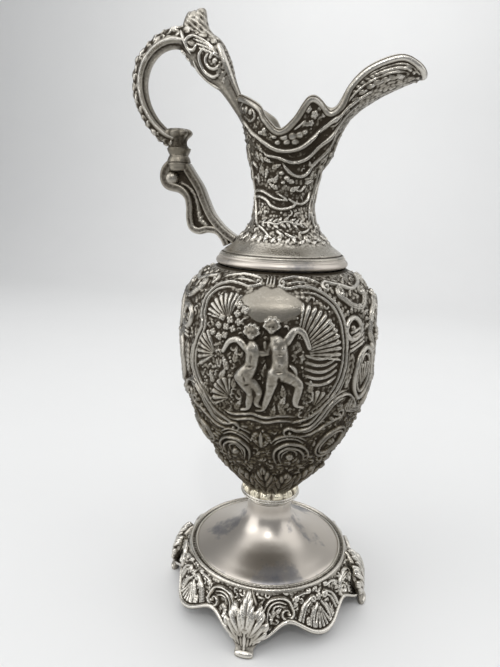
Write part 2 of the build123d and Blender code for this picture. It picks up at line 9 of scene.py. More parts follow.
import bmesh
import bpy
import numpy as np
from mathutils import Matrix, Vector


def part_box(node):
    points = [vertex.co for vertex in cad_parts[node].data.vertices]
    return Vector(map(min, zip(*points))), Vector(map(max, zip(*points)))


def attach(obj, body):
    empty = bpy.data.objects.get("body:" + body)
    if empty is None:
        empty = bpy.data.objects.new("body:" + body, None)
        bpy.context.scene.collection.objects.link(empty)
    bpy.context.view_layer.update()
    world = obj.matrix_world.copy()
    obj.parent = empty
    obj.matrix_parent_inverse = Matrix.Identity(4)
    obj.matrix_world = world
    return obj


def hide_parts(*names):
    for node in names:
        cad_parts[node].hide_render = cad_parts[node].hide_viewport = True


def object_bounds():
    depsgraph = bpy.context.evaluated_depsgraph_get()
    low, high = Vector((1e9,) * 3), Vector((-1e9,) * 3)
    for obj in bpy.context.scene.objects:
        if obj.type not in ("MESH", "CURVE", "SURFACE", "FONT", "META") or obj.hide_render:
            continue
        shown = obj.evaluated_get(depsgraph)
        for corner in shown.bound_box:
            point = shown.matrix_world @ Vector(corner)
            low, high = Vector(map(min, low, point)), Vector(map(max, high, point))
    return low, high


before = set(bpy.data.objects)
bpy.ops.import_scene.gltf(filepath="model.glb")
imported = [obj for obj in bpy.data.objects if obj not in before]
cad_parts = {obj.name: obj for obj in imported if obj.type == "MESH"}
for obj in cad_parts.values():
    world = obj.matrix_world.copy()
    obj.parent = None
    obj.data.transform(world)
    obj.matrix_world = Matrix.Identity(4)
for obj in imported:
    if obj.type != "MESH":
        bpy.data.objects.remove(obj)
frame_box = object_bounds()

MM = 0.001
JOIN = 1e-6  # points closer than this, in metres, become one
RUN = 12  # stretches of a ridge that share one search for the points near them


def low_z(node):
    """Height of a node's lowest point, in mm to the hundredth."""
    return round(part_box(node)[0].z / MM, 2)


def high_z(node):
    """Height of a node's highest point, in mm to the hundredth."""
    return round(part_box(node)[1].z / MM, 2)


# Seats and sizes of the frame
knop_floor = low_z("body_front_half")
body_top = high_z("body_front_half")
collar_top = high_z("collar_ring")
stem_top = low_z("knop")
dome_edge = low_z("foot_dome")
dome_radius = round(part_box("foot_dome")[1].x / MM, 2)
ferrule_low = low_z("handle_ferrule")
ferrule_high = high_z("handle_ferrule")

# Walls of the casting
neck_wall = 2.0
skirt_wall = 2.4
rim_bead = 0.9
rim_bead_depth = 2.6

# Grids of the turned pieces
plain_columns = 181
knop_columns = 361
outline_rows = 90
petal_rows = 40
bead_count = 64
petal_count = 14

# Plain outlines as radius and height, from the bottom up
body_outline = [(9.5, knop_floor), (14, 66.5), (21, 75), (31.3, 87.9), (40, 104), (45.8, 122), (48.3, 143),
                (46.8, 166), (43.2, 174), (37.3, 180), (31.2, body_top)]
neck_outline = [(30.6, collar_top), (30.4, 189.4), (28.3, 191), (23.6, 194.5), (18.9, 200), (15.6, 206),
                (14.3, 213.5), (15, 222), (17, 231.5), (19.6, 240.9), (22.2, 251.9), (24.2, 264), (25.4, 282)]
skirt_outline = [(43.8, 28.4), (46.4, 20.5), (48.7, 13.5), (51.2, 9.0), (53.2, 6.5), (55.4, 4.0)]
knop_radius = 16.0
knop_cup_outline = [(12.2, stem_top), (12.9, 56.3), (13.3, 57.0), (13.0, 57.9), (13.4, 58.5), (15.0, 58.8),
                    (15.9, 59.4), (15.9, 60.1), (15.3, 60.5), (15.6, 60.9), (15.4, 61.4), (14.9, 61.4),
                    (14.6, 60.9), (14.4, 60.0)]
petal_outline = [(14.7, 60.2), (14.9, 61.2), (14.8, 62.4), (14.3, 63.6), (13.6, 64.4), (12.6, 64.4),
                 (11.6, 63.4)]
dome_outline = [(dome_radius, dome_edge), (dome_radius, 29.3), (33.8, 31.7), (23.1, 36.3), (16.1, 41.4),
                (12.3, 48), (11.9, stem_top)]
collar_outline = [(27.4, body_top), (29.8, 183.5), (30.2, 184.0), (31.8, 184.2), (32.5, 185.0), (32.5, 186.0),
                  (31.9, 187.0), (31.2, 187.5), (31.1, 188.0), (30.8, collar_top), (27.4, collar_top)]
ferrule_outline = [(0.0, ferrule_low), (5.4, ferrule_low), (5.75, 232.0), (5.3, 233.4), (4.7, 234.5),
                   (5.3, 235.8), (5.75, 237.0), (5.4, ferrule_high), (0.0, ferrule_high)]

# The spout's trough: its underside from the axis to the tip, with half width and depth of its floor
trough_line = [(2, 222), (18, 231), (24, 245), (30, 253.4), (40, 260.5), (50, 265.4), (57, 268.2),
               (61, 270.4)]
trough_shape = [(12.5, 9), (13.2, 9), (13, 8.5), (12, 8), (10.4, 6.5), (9.2, 5.5), (7.8, 4.5), (5.6, 3.5)]

# The mouth's edge seen from the side, from the handle to the spout's tip
mouth_line = [(-34, 264), (-22, 260.6), (-10.4, 254.6), (-6.5, 249.2), (-0.7, 244.5), (5, 248.6),
              (9.2, 255.0), (11.3, 257.6), (14.0, 258.3), (16.7, 256.8), (20.5, 253.3), (24.2, 256.2),
              (28, 264.6), (36.3, 272.2), (48.8, 276.4), (57.7, 272.5), (66, 264)]


def smooth_line(knots, count):
    """A smooth line of that many points through the knots. Each stretch is the cubic whose slope at a knot is
    half the step between that knot's neighbours."""
    knots = np.asarray(knots, float)
    ends = np.concatenate([[2 * knots[0] - knots[1]], knots, [2 * knots[-1] - knots[-2]]])
    along = np.linspace(0, len(knots) - 1, count)
    stretch = np.minimum(along.astype(int), len(knots) - 2)
    t = (along - stretch)[:, None]
    before, start, end, after = (ends[stretch + step] for step in range(4))
    return 0.5 * (2 * start + (end - before) * t + (2 * before - 5 * start + 4 * end - after) * t ** 2
                  + (3 * start - before - 3 * end + after) * t ** 3)


def way_along(line):
    """How far along a line each of its points lies."""
    return np.concatenate([[0], np.cumsum(np.linalg.norm(np.diff(line, axis=0), axis=1))])


def even_line(knots, count):
    """A smooth line through the knots, its points an equal way apart."""
    fine = smooth_line(knots, 24 * len(knots))
    way = way_along(fine)
    stops = np.linspace(0, way[-1], count)
    return np.stack([np.interp(stops, way, fine[:, axis]) for axis in range(fine.shape[1])], 1)


def step_up(low, high, value):
    """0 below low, 1 above high, and the cubic 3t² - 2t³ between."""
    t = np.clip((value - low) / (high - low), 0, 1)
    return t * t * (3 - 2 * t)


def about_axis(r, angles, z):
    """Points at a radius r, an angle a in degrees and a height z: x = r sin a, y = -r cos a, z = z."""
    a = np.radians(angles)
    return np.stack(np.broadcast_arrays(r * np.sin(a), -r * np.cos(a), z), -1)


def turned(outline, angles):
    """Grid of a wall turned about the axis: a row for each point of its outline, a column for each angle."""
    r, z = np.asarray(outline, float).T[:, :, None]
    return about_axis(r, angles, z)


def unit(vectors):
    """Vectors of length 1 along the given ones."""
    return vectors / np.maximum(np.linalg.norm(vectors, axis=-1, keepdims=True), 1e-9)


def outward(points):
    """Unit normals of a grid: the direction along a row crossed with the direction from row to row."""
    return unit(np.cross(np.gradient(points, axis=1), np.gradient(points, axis=0)))


def blurred(field, reach):
    """Mean of a field over a square of 2 reach + 1 points a side, taken twice, its edges held."""
    for axis in (0, 1, 0, 1):
        pad = [(0, 0), (0, 0)]
        pad[axis] = (reach + 1, reach)
        total = np.cumsum(np.pad(field, pad, mode="edge"), axis)
        count = field.shape[axis]
        ahead = np.take(total, np.arange(count) + 2 * reach + 1, axis)
        field = (ahead - np.take(total, np.arange(count), axis)) / (2 * reach + 1)
    return field


def pimples(points, size):
    """Small even bumps from -1 to 1: the product of three sines of the place, along slanted directions."""
    way = 2 * math.pi / size
    across = np.array([[1.0, 0.31, -0.22], [-0.27, 1.0, 0.36], [0.18, -0.33, 1.0]])
    waves = np.sin(points @ across.T * way + np.array([0.3, 1.1, 2.3]))
    return waves[..., 0] * waves[..., 1] + waves[..., 1] * waves[..., 2] + waves[..., 2] * waves[..., 0]


scatter_table = np.random.default_rng(7).random((4096, 4))


def stipple(points, size):
    """Uneven punch marks from -1 to 1. Each cell of a lattice holds one seeded point, and a mark is a round
    dome on the nearest of them, its height also drawn from the seed."""
    place = points.reshape(-1, 3) / size
    cell = np.floor(place).astype(int)
    best = np.full(len(place), 9.0)
    tall = np.zeros(len(place))
    for step in np.ndindex(3, 3, 3):
        near = cell + np.array(step) - 1
        drawn = scatter_table[(near @ np.array([73, 179, 283])) % len(scatter_table)]
        away = np.sum((place - near - drawn[:, :3]) ** 2, axis=1)
        tall = np.where(away < best, drawn[:, 3], tall)
        best = np.minimum(away, best)
    return ((0.4 + 0.6 * tall) * np.clip(1 - 2.2 * best, -0.6, 1)).reshape(points.shape[:-1])


def cast_skin(points, size):
    """Soft unevenness from -1 to 1: seeded values at the corners of a lattice, blended inside each cell by
    the cubic 3t² - 2t³."""
    cell = np.floor(points / size).astype(int)
    t = points / size - cell
    t = t * t * (3 - 2 * t)
    total = 0
    for corner in np.ndindex(2, 2, 2):
        drawn = scatter_table[((cell + corner) @ np.array([73, 179, 283])) % len(scatter_table), 0]
        total = total + drawn * np.prod(np.where(corner, t, 1 - t), axis=-1)
    return 2 * total - 1


class Chasing:
    """Relief worked on a wall. It holds the wall's grid of points in mm, its outward normals, the height
    raised at each point, how much of the grainy ground shows there, the ground's punch marks, and how dull a
    point is. Its place function puts knots of (angle, height) on the wall."""

    def __init__(self, points, place=None):
        self.points = points
        self.place = place
        self.out = outward(points)
        self.height = np.zeros(points.shape[:2])
        self.ground = np.zeros(points.shape[:2])
        self.marks = 0
        self.dull = np.zeros(points.shape[:2])
        self.row_box = points.min(1), points.max(1)
        self.column_box = points.min(0), points.max(0)

    def near(self, path, reach):
        """Indexes of the grid's points in the path's box, grown by a reach."""
        low = path.min(0) - reach
        high = path.max(0) + reach
        rows, columns = (np.nonzero(np.all((box[1] > low) & (box[0] < high), axis=1))[0]
                         for box in (self.row_box, self.column_box))
        part = self.points[np.ix_(rows, columns)]
        inside = np.nonzero(np.all((part > low) & (part < high), axis=2))
        return rows[inside[0]], columns[inside[1]]

    def spots(self, knots):
        """Points on the wall: knots of (angle, height) are placed, and knots in space stay as they are."""
        knots = np.asarray(knots, float)
        return self.place(knots) if knots.shape[1] == 2 else knots

    def ridge(self, knots, width, height, shape="round", base=0.0, ends=(0.3, 0.3), count=0):
        """A raised line through the knots. With q the distance from it over its half width, its profile is
        (1 - q²)^0.7 when round, three small ridges side by side when triple, by a cosine of 1.5 turns, and a
        soft (1 - q²)² when soft. Width and height are single values or one for each knot, and ends are what
        is left of them at each end."""
        knots = np.asarray(knots, float)
        count = count or 5 * len(knots) - 4
        path = self.spots(smooth_line(knots, count))
        t = np.linspace(0, 1, count)
        head, tail = (np.clip(part, 0, 1) ** 2 for part in (1 - 4 * t, 4 * t - 3))
        taper = 1 - (1 - ends[0]) * head - (1 - ends[1]) * tail
        widths, heights = (taper * np.interp(t, np.linspace(0, 1, len(size)), size)
                           for size in (np.atleast_1d(width), np.atleast_1d(height)))
        best = np.full(self.height.shape, 9.0)
        tall = np.zeros(self.height.shape)
        for first in range(0, count - 1, RUN):
            stop = min(first + RUN, count - 1)
            where = self.near(path[first:stop + 1], widths.max())
            near, close, high = self.points[where], best[where], tall[where]
            for here in range(first, stop):
                run = path[here + 1] - path[here]
                share = np.clip((near - path[here]) @ run / max(run @ run, 1e-9), 0, 1)
                away = np.linalg.norm(near - path[here] - share[:, None] * run, axis=1)
                ratio = away / (widths[here] + share * (widths[here + 1] - widths[here]))
                rise = heights[here] + share * (heights[here + 1] - heights[here])
                high = np.where(ratio < close, rise, high)
                close = np.minimum(ratio, close)
            best[where], tall[where] = close, high
        where = np.nonzero(best < 1)
        best, tall = best[where], tall[where]
        if shape == "round":
            rise = (1 - best ** 2) ** 0.7
        elif shape == "triple":
            rise = (1 - best ** 4) * (0.2 + 0.8 * np.abs(np.cos(1.5 * math.pi * best)) ** 0.9)
        else:
            rise = (1 - best ** 2) ** 2
        self.lay(where, base + tall * rise)

    def lines(self, knots, gaps, width, height, ends=(0.4, 0.4)):
        """Parallel ridges: the line through the knots, moved to its left by each of the gaps, in mm."""
        scale, flat = self.flat(knots)
        way = unit(np.gradient(flat, axis=0))
        left = np.stack([-way[:, 1], way[:, 0]], 1)
        for gap in gaps:
            self.ridge((flat + gap * left) / scale, width, height, ends=ends, count=2 * len(flat))

    def flat(self, knots):
        """An even line through the knots in mm along the wall, with the scale that made it so."""
        knots = np.asarray(knots, float)
        middle = self.place(knots.mean(0)[None])[0]
        scale = np.array([math.hypot(middle[0], middle[1]) * math.pi / 180, 1.0])
        return scale, even_line(knots * scale, 6 * len(knots))

    def lay(self, where, height):
        """Keeps the higher of what is there and the new height, and clears the grainy ground under it."""
        self.height[where] = np.maximum(self.height[where], height)
        self.ground[where] *= np.clip(1 - height / 0.25, 0, 1)

    def spot(self, angle, height, turn):
        """A place on the wall and two unit directions: one turned up from the way round, one square to
        it."""
        centre = self.place(np.array([[angle, height]]))[0]
        next_up = self.place(np.array([[angle, height + 0.5]]))[0]
        a = math.radians(angle)
        around = np.array([math.cos(a), math.sin(a), 0])
        up = unit(next_up - centre)
        c, s = math.cos(math.radians(turn)), math.sin(math.radians(turn))
        return centre, c * around + s * up, c * up - s * around

    def local(self, spot, reach):
        """Indexes near a spot, and how far each point is along its two directions."""
        centre, along, across = spot
        where = self.near(centre[None], reach)
        offset = self.points[where] - centre
        return where, offset @ along, offset @ across

    def knob(self, spot, radius, height, base=0.0, long=1.0):
        """A rounded boss on a base: height times (1 - q²)^0.7, where q is the distance over the radius."""
        where, x, y = self.local(spot, radius * max(long, 1) + 1)
        q = (x / (radius * long)) ** 2 + (y / radius) ** 2
        self.lay(where, np.where(q < 1, base + height * np.clip(1 - q, 0, 1) ** 0.7, 0))

    def mould(self, spot, radius, amount, long=1.0):
        """Adds a soft swelling, or takes away a soft dent, of amount (1 - q²)², with q as in a knob."""
        where, x, y = self.local(spot, radius * max(long, 1) + 1)
        q = (x / (radius * long)) ** 2 + (y / radius) ** 2
        self.height[where] += amount * np.clip(1 - q, 0, 1) ** 2

    def leaf(self, spot, length, width, height, lobes=4, tip=0.62, cut=0.25, steep=0.16):
        """An acanthus leaf from the spot along its first direction. Its half width grows as a sine to its
        widest and falls to the point, scalloped by the lobes. Its height is a round across it, less a groove
        down the middle and veins that slant from the groove to the lobes, as steep as told, both as deep as
        the cut."""
        where, x, y = self.local(spot, length + width)
        t = x / length
        ok = (t > 0) & (t < 1)
        t = np.clip(t, 0.001, 0.999)
        half = width / 2 * np.sin(math.pi * t ** tip) ** 0.8
        slant = t - steep * np.abs(y) / (width / 2)
        lobe = np.abs(np.sin(lobes * math.pi * slant))
        half = half * (0.84 + 0.2 * lobe)
        q = np.abs(y) / np.maximum(half, 0.01)
        veins = 1 - cut + cut * lobe ** 0.7 - cut * np.clip(1 - q * 5, 0, 1)
        rise = np.clip(1 - q ** 4, 0, 1) ** 0.8 * veins * (0.55 + 0.45 * t)
        self.lay(where, np.where(ok & (q < 1), height * rise, 0))

    def fan(self, spot, radius, spread, ribs, height, inner=0.12):
        """A shell opening along the spot's first direction. Across it the ribs are the size of a cosine,
        their outer ends are scallops, and the whole rises outwards from its hub."""
        where, x, y = self.local(spot, radius * 1.1)
        r = np.hypot(x, y) / radius
        angle = np.degrees(np.arctan2(y, x)) / spread
        rib = np.abs(np.cos(math.pi * ribs * angle))
        edge = 0.93 + 0.07 * rib
        ok = (r > inner) & (r < edge) & (np.abs(angle) < 0.5)
        rise = (0.12 + 0.88 * rib ** 0.7) * (0.45 + 0.55 * r) * step_up(0, 0.07, edge - r)
        self.lay(where, np.where(ok, height * rise, 0))

    def flower(self, spot, radius, petals, height):
        """A rosette: domed petals between the zeros of a cosine round its centre, and a bead on it."""
        where, x, y = self.local(spot, radius * 1.1)
        r = np.hypot(x, y) / radius
        lobe = np.abs(np.cos(petals / 2 * np.arctan2(y, x))) ** 0.6
        rise = np.clip(1 - (r / (0.76 + 0.24 * lobe)) ** 3, 0, 1) * (0.5 + 0.5 * lobe)
        rise = rise * np.clip(2.4 * r, 0.4, 1)
        bead = np.clip(1 - (r / 0.34) ** 2, 0, 1) ** 0.7
        self.lay(where, np.where(r < 1, height * np.maximum(rise, bead), 0))

    def scroll(self, knots, width, height, start=None, end=None, shape="round"):
        """A ridge that may curl at either end. A curl is (radius, turns, side): it goes on from the end's
        direction round a centre at that radius, to the left for side 1, shrinking to a bead at the eye."""
        scale, flat = self.flat(knots)
        if end:
            flat = np.concatenate([flat, spiral(flat[-2], flat[-1], *end)])
        if start:
            flat = np.concatenate([spiral(flat[1], flat[0], *start)[::-1], flat])
        left = (0.45 if start else 0.3, 0.45 if end else 0.3)
        self.ridge(flat / scale, width, height, shape, ends=left, count=len(flat) * 2)
        for mark, curl in ((flat[0], start), (flat[-1], end)):
            if curl:
                self.knob(self.spot(*(mark / scale), 0), max(width, 0.9) * 1.15, height * 1.15)

    def frill(self, knots, length, width, height, count, lean):
        """Small leaves in a row along a line, each leaning from the line's direction by an angle."""
        line = even_line(knots, count + 1)
        middle = math.hypot(*self.place(line[:1])[0, :2]) * math.pi / 180
        steps = np.diff(line, axis=0)
        turns = np.degrees(np.arctan2(steps[:, 1], steps[:, 0] * middle)) + lean
        shares = 0.7 + 0.3 * np.sin(np.linspace(0, math.pi, count))
        for (angle, level), turn, share in zip(line, turns, shares):
            self.leaf(self.spot(angle, level, turn), length * share, width * share, height, 3)

    def flesh(self, limbs, base):
        """Rounded limbs that flow into each other. Each stretch of a limb from joint to joint is a round of a
        tapering radius r, h = (r² - d²)^0.5 at a distance d from it, and the limbs' heights add up as the
        fifth root of their fifth powers. A limb is a list of (angle, height, radius)."""
        mass = np.zeros(self.height.shape)
        for limb in limbs:
            knots = smooth_line(limb, 4 * len(limb) - 3)
            path = self.place(knots[:, :2])
            own = np.zeros(self.height.shape)
            for here in range(len(path) - 1):
                run = path[here + 1] - path[here]
                where = self.near(path[here:here + 2], knots[:, 2].max() + 0.2)
                near = self.points[where] - path[here]
                share = np.clip(near @ run / max(run @ run, 1e-9), 0, 1)
                away = np.sum((near - share[:, None] * run) ** 2, axis=1)
                radius = knots[here, 2] + share * (knots[here + 1, 2] - knots[here, 2])
                own[where] = np.maximum(own[where], np.sqrt(np.clip(radius ** 2 - away, 0, None)))
            mass += own ** 5
        where = np.nonzero(mass > 0)
        self.lay(where, base * np.clip(mass[where], 0, 1) + 0.8 * mass[where] ** 0.2)
        self.dull[where] = 0.17

    def fill(self, low, high, count, size, height, seed):
        """Small leaves, curls and beads at seeded places between two corners, where the ground is bare."""
        draws = np.random.default_rng(seed).random((count, 5))
        low, high = np.array(low), np.array(high)
        draws[:, :2] = low + draws[:, :2] * (high - low)
        for (angle, level, turn, kind, grow), centre in zip(draws, self.place(draws[:, :2])):
            where = self.near(centre[None], 0.4 * size)
            if not len(where[0]) or self.height[where].max() > 0.3 * height or self.ground[where].min() < 0.5:
                continue
            scale = size * (0.6 + 0.7 * grow)
            spot = self.spot(angle, level, 360 * turn)
            if kind < 0.55:
                self.leaf(spot, 1.7 * scale, 0.8 * scale, height * (0.7 + 0.5 * grow), 3)
            elif kind < 0.8:
                centre, along, across = spot
                arc = np.linspace(0, 4.2, 7)[:, None]
                self.ridge(centre + 0.6 * scale * (np.cos(arc) * along + np.sin(arc) * across), 0.24 * scale,
                           height, count=9)
            else:
                self.knob(spot, 0.36 * scale, height)

    def grain(self, size, depth):
        """Adds the uneven punch marks of the grainy ground, where it shows, and makes raised work as uneven
        as a casting's skin."""
        self.marks = self.ground * stipple(self.points, size)
        rough = 0.24 * cast_skin(self.points, 2.7) + 0.14 * cast_skin(self.points, 1.1)
        self.height += depth * self.marks + rough * np.clip(self.height / 0.7, 0, 1) * (1 - 3.5 * self.dull)

    def worked(self):
        """The wall's points moved out by the relief."""
        return self.points + self.out * self.height[..., None]

    def hollows(self, fine, wide, span):
        """How far each point lies in a hollow, from 0 to 1, with 0.5 on plain metal: its height under the
        mean of its near surroundings, which stands for tarnish in the hollows, and, up to a limit, under the
        mean of its wider surroundings, which is painted shade on the ground beside tall relief, over a span
        in mm. The ground's punch marks count by themselves, so that their tops stay bright."""
        near = blurred(self.height, fine) - self.height
        # The wider surroundings give painted shade on the ground beside tall relief
        far = blurred(self.height, wide) - self.height
        return np.clip(0.5 + 0.8 * near / span + np.clip(0.6 * far / span, -0.3, 0.13) + 0.05 * self.ground
                       - 0.24 * self.marks + self.dull, 0, 1)


def spiral(before, start, radius, turns, side):
    """Points that lead a line's end into a curl: the angle grows evenly, the radius shrinks to a third."""
    way = (start - before) / np.linalg.norm(start - before)
    square = side * np.array([-way[1], way[0]])
    steps = max(int(14 * turns), 4)
    t = np.linspace(0, 1, steps + 1)[1:, None]
    swing = 2 * math.pi * turns * t
    reach = radius * (1 - 0.68 * t)
    centre = start + square * radius
    return centre + reach * (np.sin(swing) * way - np.cos(swing) * square)


def quads(rows, columns, first=0):
    """Faces that join the rows and columns of a grid, its points numbered from the first."""
    index = first + np.arange(rows * columns).reshape(rows, columns)
    return np.stack([index[:-1, :-1], index[:-1, 1:], index[1:, 1:], index[1:, :-1]], 2).reshape(-1, 4)


def mesh_piece(name, sheets, nodes, material):
    """One object from several sheets, each a grid of points in mm and its hollows. Points are kept inside the
    frame's box, rows and columns of a grid are joined by quads, points that coincide are merged, and the
    piece stands for its CAD nodes."""
    corners = []
    faces = []
    hollows = []
    first = 0
    for points, hollow in sheets:
        rows, columns = points.shape[:2]
        faces.append(quads(rows, columns, first))
        corners.append(points.reshape(-1, 3) * MM)
        hollows.append(np.broadcast_to(hollow, (rows, columns)).reshape(-1))
        first += rows * columns
    corners = np.clip(np.concatenate(corners), *np.array(frame_box))
    faces = np.concatenate(faces)
    mesh = bpy.data.meshes.new(name)
    mesh.vertices.add(len(corners))
    mesh.vertices.foreach_set("co", corners.ravel())
    mesh.loops.add(faces.size)
    mesh.loops.foreach_set("vertex_index", faces.ravel())
    mesh.polygons.add(len(faces))
    mesh.polygons.foreach_set("loop_start", np.arange(0, faces.size, 4))
    mesh.update(calc_edges=True)
    mark = mesh.attributes.new("hollow", "FLOAT", "POINT")
    mark.data.foreach_set("value", np.concatenate(hollows).astype(np.float32))
    merged = bmesh.new()
    merged.from_mesh(mesh)
    bmesh.ops.remove_doubles(merged, verts=merged.verts, dist=JOIN)
    merged.to_mesh(mesh)
    merged.free()
    mesh.polygons.foreach_set("use_smooth", np.ones(len(mesh.polygons), bool))
    piece = bpy.data.objects.new(name, mesh)
    bpy.context.scene.collection.objects.link(piece)
    mesh.materials.append(material)
    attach(piece, "root")
    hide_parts(*nodes)
    return piece


def mirrored(points):
    """A sheet seen in the XZ plane, its rows turned end for end so that it still faces outwards."""
    return points[:, ::-1] * np.array([1, -1, 1])


# Body
body_columns = 499
body_rows = 397
left_head = (-4, 159.2)
right_head = (6, 162.3)
body_path = even_line(body_outline, body_rows)


def body_place(knots):
    """Points on the body's wall at angles and heights."""
    r = np.interp(knots[:, 1], body_path[:, 1], body_path[:, 0])
    return about_axis(r, knots[:, 0], knots[:, 1])


def medallion_frame(wall):
    """The lines round the picture: two scrolls over it, and down each side a pair of lines with leaves
    outside them, which widen into a band of lines at the foot."""
    left = [(-3, 178.6), (-10, 177.6), (-18, 178.3), (-25, 178.3), (-33, 175.8), (-36.5, 170.5), (-37, 164),
            (-35.6, 158.6), (-40, 151.6), (-43, 142), (-41, 134.6), (-35, 127), (-26, 119.6), (-16, 115.6),
            (-5, 111.4)]
    right = [(8, 178.6), (14, 177.6), (22, 178.4), (31, 177.4), (39, 173.5), (44.5, 167), (47, 160),
             (48, 152), (47.5, 144), (45.4, 137), (41, 130.5), (35, 125), (28, 120.6), (20, 118.4)]
    for line, side in ((left, -1), (right, 1)):
        wall.lines(line, (0,), [0.7, 0.75, 0.9, 0.9, 1.0, 1.0], [1.5, 1.7, 1.9], ends=(0.7, 0.5))
        wall.lines(line[2:-1], (-1.9 * side,), 0.6, 1.3)
        wall.lines(line[-7:-1], (1.8 * side,), 0.7, 1.5)
        wall.frill(np.array(line[3:-2]) + [side * 3.4, 0.9], 4.2, 2.2, 1.3, 22, 180 + side * 125)
    wall.scroll([(-34, 179.8), (-25, 181.4), (-14, 181.8), (-5, 181.0)], 0.65, 1.2, end=(1.5, 0.9, -1))
    wall.scroll([(38, 179.2), (29, 181.2), (19, 181.8), (10, 181.0)], 0.65, 1.2, end=(1.5, 0.9, 1))
    wall.ridge([(-24, 179.9), (-15, 180.1), (-8, 179.6)], 0.5, 0.9)
    wall.ridge([(28, 179.9), (20, 180.1), (13, 179.6)], 0.5, 0.9)
    for x in (0.6, 2.8, 5.0):
        wall.ridge([(x, 182.2), (x, 178.4)], 0.55, 1.1)


def cherub(wall, limbs, head, side, folds):
    """A small figure of rounded limbs with soft folds, each (angle, height, turn, radius, amount, long), and
    a round head with curls about it and a face that is only brow, nose and cheeks of even proportions."""
    angle, level = head
    wall.flesh(limbs, 0.7)
    for x, z, turn, radius, amount, long in folds:
        wall.mould(wall.spot(x, z, turn), radius, amount, long)
    wall.flesh([[(angle, level - 0.7, 2.3), (angle, level + 0.6, 2.7)]], 1.3)
    for curl in range(13):
        way = math.radians(-24 + curl * 19)
        reach = 2.8 if curl % 2 else 2.2
        spot = wall.spot(angle + 1.25 * reach * math.cos(way), level + 0.6 + reach * math.sin(way), 0)
        wall.knob(spot, 1.0, 0.8, base=1.9)
    for off, rise, size, amount in ((0.1, -0.5, 0.7, 0.55), (1.3, -1.0, 1.0, 0.3), (-1.1, -1.0, 1.0, 0.3),
                                    (0.1, -1.9, 0.8, -0.2), (1.1, 0.3, 0.75, -0.24),
                                    (-0.9, 0.3, 0.75, -0.24)):
        wall.mould(wall.spot(angle + side * off, level + rise, 0), size, amount)


